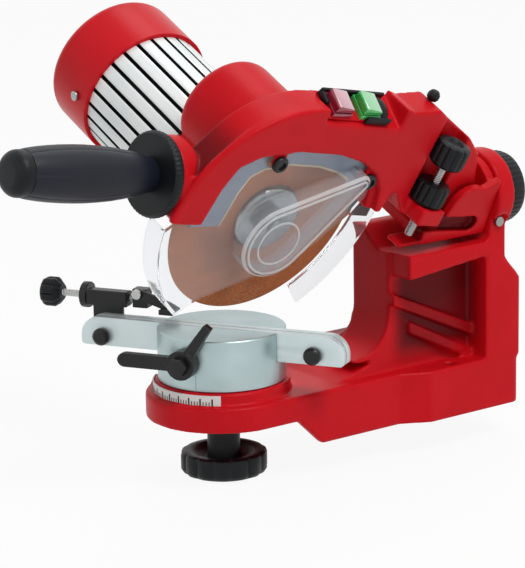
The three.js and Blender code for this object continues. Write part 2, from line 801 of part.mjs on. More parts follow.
// Knob, bolt and washer that lock the turntable
function makeLockKnob() {
  const washerTop = armUnderside - gap;
  const washerBottom = washerTop - lockWasherThickness;
  const bolt = rod("z", lockBoltRadius, lockKnobTop - lockKnobHeight / 2, tableBottom + lockBoltDepth - gap);
  piece(machine, "lock_bolt", "steel", bolt);
  const washer = [
    [lockBoltRadius + gap, washerBottom], [lockWasherRadius, washerBottom], [lockWasherRadius, washerTop],
    [lockBoltRadius + gap, washerTop],
  ];
  piece(machine, "lock_washer", "steel", turned("z", washer, roundSteps));
  const bottom = lockKnobTop - lockKnobHeight;
  const knob = turned("z", [
    [0, bottom], [lockKnobRadius - lockKnobBevel, bottom], [lockKnobRadius, bottom + lockKnobBevel],
    [lockKnobRadius, lockKnobTop - lockKnobBevel / 2], [lockKnobRadius - lockKnobBevel / 2, lockKnobTop],
    [lockKnobRadius - lockKnobRim, lockKnobTop], [lockKnobHub, lockKnobTop - lockKnobDish],
    [lockNeckRadius, lockKnobTop], [lockNeckRadius, washerBottom - gap],
    [lockBoltRadius + gap, washerBottom - gap], [lockBoltRadius + gap, lockKnobTop - lockKnobHeight / 2 - gap],
    [0, lockKnobTop - lockKnobHeight / 2 - gap],
  ], fineSteps);
  piece(machine, "lock_knob", "black", knob);
}

// Bracket that tilts on the post, with the hinge of the head
function makeBracket() {
  const rearWall = common(
    rod("y", postRadius - overrun, bracketRear - bracketWall, bracketRear, roundSteps),
    block(-bracketHalfWidth, bracketHalfWidth, 0, wide, bracketFloorBottom, wide),
  );
  const floor = block(-bracketHalfWidth, bracketHalfWidth, bracketFront, bracketRear,
    bracketFloorBottom, bracketFloorTop);
  const pinEnd = bracketHalfWidth - earThickness / 2;
  const earSide = [
    [bracketFront, bracketFloorBottom], [bracketRear, bracketFloorBottom], [bracketRear, earRearTop],
    ...arc(hingeY, hingeZ, earRadius, 60, 150, 8), [earStepY, earFrontTop], [bracketFront, earFrontTop],
  ];
  const ears = [-1, 1].map((side) => {
    const inner = side * (bracketHalfWidth - earThickness);
    const outer = side * bracketHalfWidth;
    return prism("x", earSide, Math.min(inner, outer), Math.max(inner, outer));
  });
  const anvil = block(anvilLeft, anvilRight, anvilFront, bracketFront + overrun, bracketFloorBottom, anvilTop);
  const bracket = cut(
    join(rearWall, floor, anvil, ...ears),
    moved(rod("x", hingePinRadius + gap, -wide, pinEnd + gap, coarseSteps), 0, hingeY, hingeZ),
    rod("y", tiltBoltRadius + gap, bracketRear - bracketWall + overrun, wide, coarseSteps),
  );
  piece(tilting, "tilt_bracket", "red", bracket);

  const headFace = -bracketHalfWidth - gap;
  const pin = join(
    rod("x", hingePinRadius, headFace - hingeHeadHeight / 2, pinEnd, coarseSteps),
    rod("x", hingeHeadRadius, headFace - hingeHeadHeight, headFace, hexSides),
  );
  piece(tilting, "hinge_pin", "steel", pin).position.set(0, hingeY, hingeZ);

  const boltStart = bracketRear - bracketWall + overrun + gap;
  const bolt = rod("y", tiltBoltRadius, boltStart, frameRear + tiltKnobLength / 2, coarseSteps);
  piece(tilting, "tilt_bolt", "steel", bolt);
  const knobFront = frameRear + gap;
  const knobRear = knobFront + tiltKnobLength;
  const boreEnd = frameRear + tiltKnobLength / 2 + gap;
  const knob = turned("y", [
    [tiltBoltRadius + gap, knobFront], [tiltKnobRadius - tiltKnobRounding / 2, knobFront],
    [tiltKnobRadius, knobFront + tiltKnobRounding / 2], [tiltKnobRadius, knobRear - tiltKnobRounding],
    [tiltKnobRadius - tiltKnobRounding, knobRear], [0, knobRear], [0, boreEnd], [tiltBoltRadius + gap, boreEnd],
  ], fineSteps);
  piece(tilting, "tilt_knob", "black", knob);
}

// Head casting: hood over the disc, bell for the motor and the arm back to the hinge
const liftCos = Math.cos(radians(headLiftDeg));
const liftSin = Math.sin(radians(headLiftDeg));
const pinRise = hingeZ - discCentreRise;
const knuckleY = liftCos * hingeY - liftSin * pinRise;
const knuckleZ = liftSin * hingeY + liftCos * pinRise;

function makeHead() {
  const innerRadius = discRadius + hoodClearance;
  const nearInside = hoodNear - hoodWall;
  const farInside = -hoodFar + hoodWall;
  const outline = [
    ...arc(0, 0, hoodOuterRadius, 184, 90, 14), ...sized(armTopShares, knuckleY, hoodOuterRadius),
    ...arc(knuckleY, knuckleZ, knuckleRadius, 60, -100, 8), ...sized(armLowShares, knuckleY, lugBottom),
    [hoodOuterRadius, lugBottom],
  ];
  const shell = rounded("x", outline, -hoodFar, hoodNear, hoodBevel);
  const cavity = rod("x", innerRadius, farInside, nearInside, fineSteps);
  const mouth = prism("x", [
    [-innerRadius, -wide], [innerRadius, -wide], [innerRadius, 0], [-innerRadius, 0],
  ], farInside, nearInside);
  const boss = handlePlaced(rod("y", handleBossRadius, -handleBossEnd, -handleBossEnd + handleBossDepth,
    fineSteps));
  const neck = handlePlaced(rod("y", handleNeckRadius, -handleBossEnd, 0, coarseSteps));
  const windowFloor = hoodOuterRadius * windowFloorShare;
  const window = prism("x", [
    [-wide, -wide], [wide, -wide], [wide, windowFloor],
    ...sized(windowShares, hoodOuterRadius, hoodOuterRadius), [-wide, windowFloor],
  ], nearInside - overrun, hoodNear + overrun);
  const tabs = [[screwOneY, screwOneZ], [screwTwoY, screwTwoZ]].map(([y, z]) => join(
    moved(rod("x", guardScrewRadius, nearInside, hoodNear - overrun, coarseSteps), 0, y, z),
    block(nearInside, hoodNear - overrun, y - guardScrewRadius, y + guardScrewRadius, z, z + tabReach),
  ));
  const tabBores = [[screwOneY, screwOneZ], [screwTwoY, screwTwoZ]].map(([y, z]) => moved(
    rod("x", guardScrewShank + gap, 0, wide, smallSteps), 0, y, z));
  const lug = block(armHalfThickness - pocketDepth, lugReach, depthY - lugHalfLength, depthY + lugHalfLength,
    lugBottom, lugTop);
  const pocket = block(armHalfThickness - pocketDepth, wide, depthY - pocketHalfLength,
    depthY + pocketHalfLength, lugTop, wide);
  const seatCut = prism("y", [
    [seatFarHeight, -hoodFar], [wide, -hoodFar], [wide, hoodNear + overrun], [seatNearHeight, hoodNear + overrun],
  ], seatStart, seatEnd);
  const farTrim = cut(
    prism("x", [[-wide, -wide], [wide, -wide], [wide, farTrimHeight], [-wide, farTrimHeight]],
      -hoodFar - overrun, hoodNear + overrun),
    rod("x", hoodBackRadius, -wide, farInside, fineSteps),
  );
  const walls = cut(shell, cavity, mouth, window, pocket, seatCut, farTrim);
  const hub = rod("x", hoodBackRadius, -hoodFar, farInside, fineSteps);
  const casting = cut(
    join(walls, hub, roundedBell(), cut(join(boss, neck), cavity), lug, ...tabs),
    pocket,
    rod("x", spindleRadius + overrun * 2, -wide, wide, coarseSteps),
    rod("x", bearingRadius + gap, -wide, -bellEnd + bearingWidth + gap, coarseSteps),
    moved(rod("x", hingePinRadius + gap, -wide, wide, coarseSteps), 0, knuckleY, knuckleZ),
    moved(rod("z", depthScrewRadius + gap, -wide, wide, smallSteps), depthX, depthY, 0),
    handlePlaced(rod("y", handleStudRadius + gap, -wide, -handleBossEnd + studDepth, smallSteps)),
    ...tabBores,
  );
  piece(head, "head_casting", "red", casting);
}

function handlePlaced(body) {
  return body
    .translate(0, handleBossEnd, 0)
    .rotateX(radians(handleDropDeg))
    .translate(handleX, -handleBossEnd, handleZ);
}

function roundedBell() {
  const layers = bellSliceShares.slice(1).map(([along, shrink], i) => {
    const [alongBefore] = bellSliceShares[i];
    const from = -bellEnd + bellRounding * (1 - along);
    const to = -bellEnd + bellRounding * (1 - alongBefore);
    const inset = bellRounding * shrink;
    return join(
      rod("x", bellRadius - inset * bellFlareShare, from, to + gap, fineSteps),
      moved(rod("x", domeRadius - inset, from, to + gap, roundSteps), 0, domeY, domeZ),
    );
  });
  const full = join(
    rod("x", bellRadius, -bellEnd + bellRounding, -hoodFar + hoodWall - gap, fineSteps),
    moved(rod("x", domeRadius, -bellEnd + bellRounding, -hoodFar + hoodWall - gap, roundSteps), 0, domeY, domeZ),
  );
  return join(full, ...layers);
}

// Disc, flanges, nut, spindle, rotor and fan turn together
function makeSpindle() {
  const half = discThickness / 2;
  const disc = [
    [discBoreRadius, -half], [discRadius - discEdge, -half], [discRadius, -half * discEdgeShare],
    [discRadius, half * discEdgeShare], [discRadius - discEdge, half], [discBoreRadius, half],
  ];
  piece(head, "grinding_disc", "abrasive", turned("x", disc, fineSteps));
  const bore = spindleRadius + gap;
  const innerFace = -half - gap;
  const inner = [
    [bore, innerFace - flangeThickness], [flangeRadius, innerFace - flangeThickness], [flangeRadius, innerFace],
    [discBoreRadius - gap, innerFace], [discBoreRadius - gap, half - gap], [bore, half - gap],
  ];
  piece(head, "inner_flange", "steel", turned("x", inner, roundSteps));
  const outerFace = half + gap;
  const outer = [
    [bore, outerFace], [flangeRadius, outerFace], [flangeRadius - flangeBevel, outerFace + flangeThickness],
    [bore, outerFace + flangeThickness],
  ];
  piece(head, "outer_flange", "steel", turned("x", outer, roundSteps));
  const nutStart = outerFace + flangeThickness + gap;
  const nut = cut(
    rod("x", discNutRadius, nutStart, nutStart + discNutHeight, hexSides), rod("x", bore, -wide, wide));
  piece(head, "disc_nut", "steel", nut);

  const shaftEnd = motorEnd + capLength - capWall - overrun;
  const shaft = join(
    rod("x", spindleRadius, -shaftEnd, spindleNose, coarseSteps),
    rod("x", spindleRadius + spindleShoulder, -bellEnd + bearingWidth + gap * 2,
      innerFace - flangeThickness - gap, coarseSteps),
  );
  piece(head, "spindle", "steel", shaft);
  const rotorRadius = motorBoreRadius - statorWall - rotorGap;
  const rotorStart = bellEnd + statorEnd;
  const rotorEnd = motorEnd - statorEnd;
  const rotor = [
    [spindleRadius + gap, -rotorEnd], [rotorRadius, -rotorEnd], [rotorRadius, -rotorStart],
    [spindleRadius + gap, -rotorStart],
  ];
  piece(head, "rotor", "steel", turned("x", rotor, roundSteps));
  const fanBack = -motorEnd - bearingWidth - gap * 2;
  const fanFront = fanBack - fanThickness;
  const blades = Array.from({ length: fanBlades }, (_, i) => block(
    fanFront - fanBladeHeight, fanFront + gap, fanHub, fanRadius - fanBladeInset,
    -fanBladeThickness / 2, fanBladeThickness / 2,
  ).rotateX((i * 2 * Math.PI) / fanBlades));
  const fan = cut(
    join(rod("x", fanRadius, fanFront, fanBack, roundSteps), ...blades,
      rod("x", fanHub + fanHubWall, fanFront - fanBladeHeight, fanFront + gap, coarseSteps)),
    rod("x", bore, -wide, wide, coarseSteps),
  );
  piece(head, "cooling_fan", "black", fan);
  [["front_bearing", -bellEnd], ["rear_bearing", -motorEnd - bearingWidth]].forEach(([name, start]) => {
    const ring = [
      [spindleRadius + gap, start], [bearingRadius, start], [bearingRadius, start + bearingWidth],
      [spindleRadius + gap, start + bearingWidth],
    ];
    piece(head, name, "steel", turned("x", ring, coarseSteps));
  });
}

// Finned motor housing, stator and end cap
function makeMotor() {
  const start = -motorEnd;
  const end = -bellEnd - gap;
  const slots = Array.from({ length: Math.round(360 / finPitchDeg) }, (_, i) => {
    const slot = block(start - overrun, end + overrun, finCoreRadius, wide, -finSlotWidth / 2, finSlotWidth / 2);
    return slot.rotateX(radians(i * finPitchDeg));
  });
  const housing = cut(
    rod("x", finRadius, start, end, finSteps),
    rod("x", motorBoreRadius, start - overrun, end + overrun, roundSteps),
    ...slots.filter((_, i) => !closedSlots.includes(i)),
  );
  piece(head, "motor_housing", "aluminium", housing);
  const stator = [
    [motorBoreRadius - statorWall, start + statorEnd], [motorBoreRadius - gap, start + statorEnd],
    [motorBoreRadius - gap, end - statorEnd], [motorBoreRadius - statorWall, end - statorEnd],
  ];
  piece(head, "stator", "copper", turned("x", stator, roundSteps));

  const back = -motorEnd - capLength;
  const lip = start + capLap;
  const cup = turned("x", [
    [0, back], [capRadius - capRounding, back], ...arc(0, 0, capRounding, 270, 180, 4).slice(1, -1).map(
      ([a, b]) => [capRadius - capRounding - a, back + capRounding + b]),
    [capRadius, back + capRounding], [capRadius, lip], [finRadius + gap, lip], [finRadius + gap, start - gap],
    [capRadius - capWall * 2, start - gap], [capRadius - capWall * 2, start - gap - overrun],
    [capRadius - capWall, start - gap - overrun * 2], [capRadius - capWall, back + capRounding],
    [capRadius - capRounding, back + capWall], [0, back + capWall],
  ], fineSteps);
  const spider = join(
    turned("x", [
      [bearingRadius + gap, start - bearingWidth - gap],
      [bearingRadius + gap + capWall, start - bearingWidth - gap],
      [bearingRadius + gap + capWall, start - gap], [bearingRadius + gap, start - gap],
    ], roundSteps),
    ...[0, 1, 2].map((i) => block(
      start - gap - capWall, start - gap, bearingRadius + capWall, capRadius - capWall - gap * 2,
      -capWall, capWall,
    ).rotateX((i * 2 * Math.PI) / 3)),
  );
  const screwAngle = radians(capScrewAngleDeg);
  const screwY = capRadius * Math.cos(screwAngle);
  const screwZ = capRadius * Math.sin(screwAngle);
  const screwX = start - capLength * capScrewShare;
  piece(head, "motor_cap", "red", join(cup, spider));
  const screw = rod("z", capScrewRadius, gap, gap + capScrewHeight, smallSteps)
    .rotateX(screwAngle - Math.PI / 2)
    .translate(screwX, screwY, screwZ);
  piece(head, "cap_screw", "steel", screw);
}

// Side handle with its flange and stud
function makeHandle() {
  const holder = new THREE.Group();
  holder.position.set(handleX, -handleBossEnd, handleZ);
  holder.rotation.x = radians(handleDropDeg);
  const grips = new THREE.Group();
  grips.position.y = handleBossEnd;
  holder.add(grips);
  head.add(holder);
  const flangeBack = -handleBossEnd - gap;
  const flangeFront = flangeBack - handleFlangeThickness;
  const bore = handleStudRadius + gap;
  const flange = turned("y", [
    [bore, flangeFront], [handleFlangeRadius - handleFlangeBevel, flangeFront],
    [handleFlangeRadius, flangeFront + handleFlangeBevel], [handleFlangeRadius, flangeBack - handleFlangeBevel],
    [handleFlangeRadius - handleFlangeLip, flangeBack], [bore, flangeBack],
  ], fineSteps);
  piece(grips, "handle_flange", "black", flange);
  const front = flangeFront - gap;
  const grip = turned("y", [
    [bore, -gripEnd + gripCapLength], [gripEndRadius, -gripEnd + gripCapLength],
    [gripSwellRadius - gripSwellEase, -gripSwellY - gripSwellOutward], [gripSwellRadius, -gripSwellY],
    [gripSwellRadius - gripSwellEase, -gripSwellY + gripSwellInward],
    [gripShoulderRadius, -gripStart - gripShoulderLength], [gripNeckRadius, front], [bore, front],
  ], roundSteps);
  piece(grips, "handle_grip", "black", grip);
  const capFace = -gripEnd + gripCapLength - gap;
  const cap = turned("y", [
    [0, -gripEnd], [gripEndRadius - gripCapRounding, -gripEnd],
    [gripEndRadius - gripCapRounding * gripCapCornerShares[0],
      -gripEnd + gripCapRounding * gripCapCornerShares[1]],
    [gripEndRadius, -gripEnd + gripCapRounding], [gripEndRadius, capFace], [0, capFace],
  ], roundSteps);
  piece(grips, "grip_cap", "black", cap);
  const studFront = -gripEnd + gripCapLength + gap;
  const stud = rod("y", handleStudRadius, studFront, -handleBossEnd + studDepth - gap, smallSteps);
  piece(grips, "handle_stud", "steel", stud);
}

// Depth stop: screw through the lug, lock nut above it and the knob on top
function makeDepthStop() {
  const knobTop = depthKnobBottom + depthKnobHeight;
  const bore = depthScrewRadius + gap;
  const screw = rod("z", depthScrewRadius, depthScrewEnd, depthKnobBottom + depthKnobHeight / 2, smallSteps);
  piece(head, "depth_screw", "steel", screw).position.set(depthX, depthY, 0);
  const socket = depthKnobBottom + depthKnobHeight / 2 + gap;
  const knob = turned("z", [
    [bore, depthKnobBottom], [depthKnobRadius - knobEdge, depthKnobBottom],
    [depthKnobRadius, depthKnobBottom + knobEdge], [depthKnobRadius, knobTop - knobCrown],
    [depthKnobRadius - knobCrown, knobTop], [depthKnobRadius / 2, knobTop],
    [depthKnobRadius / 3, knobTop - knobDimple], [0, knobTop - knobDimple], [0, socket], [bore, socket],
  ], coarseSteps);
  piece(head, "depth_knob", "black", knob).position.set(depthX, depthY, 0);
  const nutBottom = lugTop + gap;
  const nutTop = nutBottom + depthNutHeight;
  const nut = turned("z", [
    [bore, nutBottom], [depthNutRadius - knobEdge, nutBottom], [depthNutRadius, nutBottom + knobEdge],
    [depthNutRadius, nutTop - knobCrown], [depthNutRadius - knobCrown, nutTop], [bore, nutTop],
  ], coarseSteps);
  piece(head, "depth_lock_nut", "black", nut).position.set(depthX, depthY, 0);
}

// Clear guards in front of the disc and behind it, with their screws
function teardrop(inset) {
  const big = bulgeRadius - inset;
  const small = bulgeTipRadius - inset;
  const run = bulgeTipY;
  const rise = bulgeTipZ - bulgeZ;
  const heading = THREE.MathUtils.radToDeg(Math.atan2(rise, run));
  const spread = THREE.MathUtils.radToDeg(Math.acos((big - small) / Math.hypot(run, rise)));
  return [
    ...arc(bulgeTipY, bulgeTipZ, small, heading - spread, heading + spread, bulgeSteps),
    ...arc(0, bulgeZ, big, heading + spread, heading + 360 - spread, bulgeSteps * 2),
  ];
}

function makeGuards() {
  const front = hoodNear - hoodWall - gap;
  const back = front - guardSheet;
  const sheetOutline = [
    ...arc(0, 0, guardRimRadius, guardStart, guardFinish, 12),
    ...sized(guardShares, guardRimRadius, guardRimRadius),
  ];
  const sheet = prism("x", sheetOutline, back, front);
  const rim = prism("x", [
    ...arc(0, 0, guardRimRadius, guardStart, guardFinish, 12),
    ...arc(0, 0, guardRimRadius - guardSheet, guardFinish, guardStart, 12),
  ], -hoodFar + hoodWall + gap, front);
  const bulge = cut(
    join(sheet, rim, prism("x", teardrop(0), back, front + bulgeHeight)),
    prism("x", teardrop(guardSheet), -wide, front + bulgeHeight - guardSheet),
    moved(rod("x", guardScrewShank + gap, -wide, wide, smallSteps), 0, screwOneY, screwOneZ),
    moved(rod("x", guardScrewShank + gap, -wide, wide, smallSteps), 0, screwTwoY, screwTwoZ),
  );
  piece(head, "near_guard", "clear", bulge);
  [["guard_screw_front", screwOneY, screwOneZ], ["guard_screw_rear", screwTwoY, screwTwoZ]].forEach(
    ([name, y, z]) => {
      const seat = hoodNear - overrun + gap;
      const screw = join(
        turned("x", [
          [0, seat], [guardScrewRadius, seat], [guardScrewRadius, seat + guardScrewHeight * headSideShare],
          [guardScrewRadius * headCrownShare, seat + guardScrewHeight], [0, seat + guardScrewHeight],
        ], smallSteps),
        rod("x", guardScrewShank, back, seat + gap, smallSteps),
      );
      piece(head, name, "black", screw).position.set(0, y, z);
    });

  const farFace = -hoodFar - gap;
  const farOutline = [
    ...arc(0, 0, farGuardOuter, farGuardStart, farGuardFinish, 10),
    ...arc(0, 0, farGuardInner, farGuardFinish, farGuardStart, 10),
  ];
  const farGuard = prism("x", farOutline, farFace - guardSheet, farFace);
  piece(head, "far_guard", "clear", farGuard);
  const clipBack = farFace - guardSheet - gap;
  const clipFoot = lugBottom + overrun - clipZ;
  const clip = join(
    block(clipBack - clipThickness, clipBack, -clipLength / 2, clipLength / 2,
      -clipHeight / 2, clipFoot + tabReach / 2),
    block(clipBack - overrun, farFace, -clipLength / 2, clipLength / 2, clipFoot, clipFoot + tabReach / 2),
  );
  piece(head, "guard_clip", "black", clip).position.set(0, clipY, clipZ);
}

// Switch with its two buttons on the bevel of the hood
function makeSwitch() {
  const run = hoodNear + overrun + hoodFar;
  const drop = seatFarHeight - seatNearHeight;
  const panel = new THREE.Group();
  panel.position.set((hoodNear + overrun - hoodFar) / 2, switchY, (seatFarHeight + seatNearHeight) / 2);
  panel.rotation.y = Math.atan2(drop, run);
  head.add(panel);
  const halfLength = switchLength / 2;
  const halfWidth = switchWidth / 2;
  const bodyBase = gap;
  const bodyTop = bodyBase + switchDepth;
  const wells = [redButtonShift, greenButtonShift].map((shift) => block(
    -buttonSize / 2 - gap, buttonSize / 2 + gap, shift - buttonSize / 2 - gap, shift + buttonSize / 2 + gap,
    bodyTop - buttonTravel * 2, wide));
  const body = cut(
    join(
      block(-halfWidth, halfWidth, -halfLength, halfLength, bodyBase, bodyTop),
      moved(rod("x", switchHoodHeight, -halfWidth, halfWidth, coarseSteps), 0,
        halfLength - switchHoodHeight, bodyTop),
    ),
    ...wells,
    block(-wide, wide, -wide, wide, -wide, bodyBase),
  );
  piece(panel, "switch_housing", "black", body);
  [["red_button", "stopRed", redButtonShift], ["green_button", "green", greenButtonShift]].forEach(
    ([name, look, shift]) => {
      const half = buttonSize / 2;
      const low = bodyTop - buttonTravel + gap;
      const top = half * buttonTopShare;
      const button = join(
        block(-half, half, shift - half, shift + half, low, bodyTop + buttonRise * buttonStepShare),
        block(-top, top, shift - top, shift + top, low, bodyTop + buttonRise),
      );
      piece(panel, name, look, button);
    });

  const plug = turned("z", sized(plugOutlineShares, plugRadius, plugRadius), smallSteps);
  piece(head, "arm_plug", "black", plug).position.set(
    0, knuckleY * plugShare, hoodOuterRadius * plugSeatShare);
  const gland = turned("x", [
    [glandBore, -glandLength], [glandRadius * glandTipShare, -glandLength],
    [glandRadius, -gap], [glandBore, -gap],
  ], coarseSteps);
  piece(head, "cable_gland", "black", gland).position.set(-hoodFar, glandY, glandZ);
}

makeStand();
makeVise();
makeStop();
makeLockKnob();
makeBracket();
makeHead();
makeSpindle();
makeMotor();
makeHandle();
makeDepthStop();
makeGuards();
makeSwitch();

export default machine;
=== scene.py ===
import json
import math

import bmesh
import bpy
from mathutils import Matrix, Vector


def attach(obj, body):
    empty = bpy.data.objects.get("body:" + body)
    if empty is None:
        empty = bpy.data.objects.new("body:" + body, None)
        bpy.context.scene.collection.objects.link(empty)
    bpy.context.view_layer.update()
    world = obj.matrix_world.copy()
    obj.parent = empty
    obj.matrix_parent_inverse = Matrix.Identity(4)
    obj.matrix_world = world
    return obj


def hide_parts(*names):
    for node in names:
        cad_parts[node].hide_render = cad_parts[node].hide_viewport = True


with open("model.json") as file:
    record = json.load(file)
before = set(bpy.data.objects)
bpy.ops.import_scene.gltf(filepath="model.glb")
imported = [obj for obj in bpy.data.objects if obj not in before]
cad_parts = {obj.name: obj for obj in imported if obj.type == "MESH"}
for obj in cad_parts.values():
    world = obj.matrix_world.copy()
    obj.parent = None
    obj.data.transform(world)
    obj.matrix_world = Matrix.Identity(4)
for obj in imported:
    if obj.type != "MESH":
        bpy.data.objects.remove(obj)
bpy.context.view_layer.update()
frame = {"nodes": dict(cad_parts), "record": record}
nodes = frame["nodes"]
bodyOf = {node: body for body, members in frame["record"]["behaviour"]["bodies"].items() for node in members}
scene = bpy.context.scene
print("frame loaded:", len(nodes), "nodes")

# The machine's own frames, as the CAD has them; shapes are drawn in millimetres inside them
places = {"stand": -128.25, "viseTurn": 30, "hinge": (42.3, 0, 151), "tilt": 25.5, "pivot": 12.5,
          "swing": -12, "handle": (-14.4, -89, 17), "handleTilt": 2.4, "panel": (2, 31, 83),
          "panelSlope": math.atan2(12, 28), "depthStop": (17, 121, 0), "viseStop": (0, 14, 88.5)}
toMetres = Matrix.Scale(0.001, 4)


def shiftBy(x, y, z):
    return Matrix.Translation((x, y, z))


def turnBy(degrees, axis):
    return Matrix.Rotation(math.radians(degrees), 4, axis)


machineFrame = toMetres @ shiftBy(0, places["stand"], 0)
viseFrame = machineFrame @ turnBy(places["viseTurn"], "Z")
tiltFrame = machineFrame @ shiftBy(*places["hinge"]) @ turnBy(places["tilt"], "Y")
headFrame = tiltFrame @ shiftBy(0, 0, places["pivot"]) @ turnBy(places["swing"], "X")
collarY = places["handle"][1]
handlePlace = shiftBy(*places["handle"]) @ turnBy(places["handleTilt"], "X") @ shiftBy(0, -collarY, 0)
gripFrame = headFrame @ handlePlace
panelFrame = headFrame @ shiftBy(*places["panel"]) @ Matrix.Rotation(places["panelSlope"], 4, "Y")

# Camera at the photograph's angle
camera = {"azimuth": 0.922, "height": 0.241, "roll": -0.017, "lens": 172.9,
          "place": (1.41346, -1.165247, 0.537571)}


def makeCamera():
    a, e, roll = camera["azimuth"], camera["height"], camera["roll"]
    back = Vector((math.sin(a) * math.cos(e), -math.cos(a) * math.cos(e), math.sin(e)))
    level = Vector((math.cos(a), math.sin(a), 0))
    upright = back.cross(level)
    right = level * math.cos(roll) + upright * math.sin(roll)
    up = upright * math.cos(roll) - level * math.sin(roll)
    data = bpy.data.cameras.new("camera")
    data.lens = camera["lens"]
    data.clip_start, data.clip_end = 0.1, 20
    eye = bpy.data.objects.new("camera", data)
    scene.collection.objects.link(eye)
    eye.matrix_world = shiftBy(*camera["place"]) @ Matrix((right, up, back)).transposed().to_4x4()
    scene.camera = eye


makeCamera()
scene.view_settings.view_transform = "Standard"
print("camera set")

# Finishes: two shades of a colour, how rough it is, and its grain
buttonSide = {"rough": 0.22, "spread": 0.06, "grain": 1600, "depth": 0.04, "shine": 0.6, "coat": 0.6}
# Button tops: paler copies of each button's colour, a painted highlight on the faces turned up
buttonHighlight = {"rough": 0.2, "spread": 0.05, "grain": 1600, "depth": 0.03, "shine": 0.7, "coat": 0.6}
finishes = {
    "redEnamel": {"colour": (0.66, 0.006, 0.014), "tint": (0.6, 0.005, 0.011), "worn": (0.74, 0.03, 0.035),
                  "rough": 0.38, "spread": 0.08, "grain": 900, "depth": 0.07, "shine": 0.12},
    "redPlastic": {"colour": (0.68, 0.008, 0.016), "tint": (0.63, 0.007, 0.013),
                   "rough": 0.32, "spread": 0.06, "grain": 1400, "depth": 0.04, "shine": 0.14},
    "blackPlastic": {"colour": (0.0055, 0.0075, 0.009), "tint": (0.004, 0.0055, 0.007),
                     "rough": 0.4, "spread": 0.14, "grain": 2200, "depth": 0.3, "shine": 0.22},
    "gripRubber": {"colour": (0.008, 0.011, 0.02), "tint": (0.006, 0.0085, 0.016),
                   "rough": 0.42, "spread": 0.1, "grain": 1800, "depth": 0.25, "shine": 0.28},
    "blackSteel": {"colour": (0.01, 0.0105, 0.012), "tint": (0.007, 0.007, 0.008),
                   "rough": 0.34, "spread": 0.12, "grain": 1500, "depth": 0.12, "shine": 0.35},
    "railAluminium": {"colour": (0.78, 0.9, 0.91), "tint": (0.67, 0.79, 0.8), "metal": 0.35,
                      "rough": 0.38, "spread": 0.12, "grain": 1600, "depth": 0.08, "shine": 0.5},
    "castAluminium": {"colour": (0.5, 0.62, 0.63), "tint": (0.42, 0.53, 0.54), "metal": 0.75,
                      "rough": 0.36, "spread": 0.12, "grain": 1600, "depth": 0.1, "shine": 0.5},
    "finAluminium": {"colour": (0.95, 0.99, 0.98), "tint": (0.86, 0.93, 0.92), "metal": 0.1,
                     "rough": 0.42, "spread": 0.1, "grain": 1800, "depth": 0.06, "shine": 0.4},
    # Painted shade: near black, for the fin sides and the core down in the motor's slots
    "slotShade": {"colour": (0.012, 0.016, 0.017), "tint": (0.008, 0.01, 0.011), "metal": 0.2,
                  "rough": 0.6, "spread": 0.1, "grain": 1800, "depth": 0.1, "shine": 0.2},
    "zincSteel": {"colour": (0.5, 0.51, 0.5), "tint": (0.3, 0.3, 0.29), "metal": 0.95,
                  "rough": 0.24, "spread": 0.12, "grain": 2400, "depth": 0.05, "shine": 0.5},
    "winding": {"colour": (0.42, 0.17, 0.07), "tint": (0.2, 0.08, 0.04), "metal": 0.6,
                "rough": 0.4, "spread": 0.1, "grain": 900, "depth": 0.3, "shine": 0.5},
    "whiteLabel": {"colour": (0.86, 0.86, 0.84), "tint": (0.8, 0.8, 0.78),
                   "rough": 0.38, "spread": 0.05, "grain": 2500, "depth": 0.02, "shine": 0.3},
    "labelInk": {"colour": (0.015, 0.015, 0.015), "tint": (0.02, 0.02, 0.02),
                 "rough": 0.5, "spread": 0.05, "grain": 2500, "depth": 0.02, "shine": 0.2},
    "stopRed": {**buttonSide, "colour": (0.36, 0.01, 0.045), "tint": (0.28, 0.008, 0.03)},
    "goGreen": {**buttonSide, "colour": (0.045, 0.52, 0.1), "tint": (0.035, 0.42, 0.08), "coat": 0.5},
    "buttonRedTop": {**buttonHighlight, "colour": (0.72, 0.42, 0.48), "tint": (0.64, 0.34, 0.4)},
    "buttonGreenTop": {**buttonHighlight, "colour": (0.36, 0.74, 0.42), "tint": (0.28, 0.66, 0.34)},
    "stripEdge": {"colour": (0.66, 0.52, 0.3), "tint": (0.58, 0.44, 0.24), "coat": 0.3,
                  "rough": 0.2, "spread": 0.05, "grain": 1200, "depth": 0.03, "shine": 0.6},
    # Painted reflection and painted shade: the blue-grey band seen inside the hood's window, behind the clear
    # guard
    "paintedReflectionBand": {"colour": (0.2, 0.24, 0.32), "tint": (0.15, 0.18, 0.25), "coat": 0.3,
                   "rough": 0.25, "spread": 0.1, "grain": 1200, "depth": 0.04, "shine": 0.5},
}
# The cast enamel also carries a dark red for painted shade, mixed in where the depth attribute says
finishes["castEnamel"] = {**finishes["redEnamel"], "paintedShadeColour": (0.15, 0.0025, 0.005)}
surface = {"patches": 28.0, "patchRange": (0.35, 0.65), "fineRange": (0.3, 0.7), "specks": 420.0,
           "speckRange": (0.66, 0.74), "speckShare": 0.35, "bump": 0.0004, "coatRough": 0.12}
clearSheets = {
    "clearGuard": {"tint": (0.93, 0.95, 0.97), "clear": 0.92, "rough": 0.03, "index": 1.12, "haze": 0.05},
    "clearCover": {"tint": (0.86, 0.91, 0.95), "clear": 0.86, "rough": 0.06, "index": 1.12, "haze": 0.08},
    "clearEdge": {"tint": (0.95, 0.97, 0.98), "clear": 0.5, "rough": 0.15, "index": 1.2, "haze": 0.1},
}
grindingStone = {"body": (0.46, 0.125, 0.032), "dark": (0.17, 0.045, 0.014), "light": (0.66, 0.34, 0.17),
                 "grit": 1700.0, "clouds": 70.0, "scorches": 22.0, "scorched": 0.55, "rough": 0.85}
looks = {}


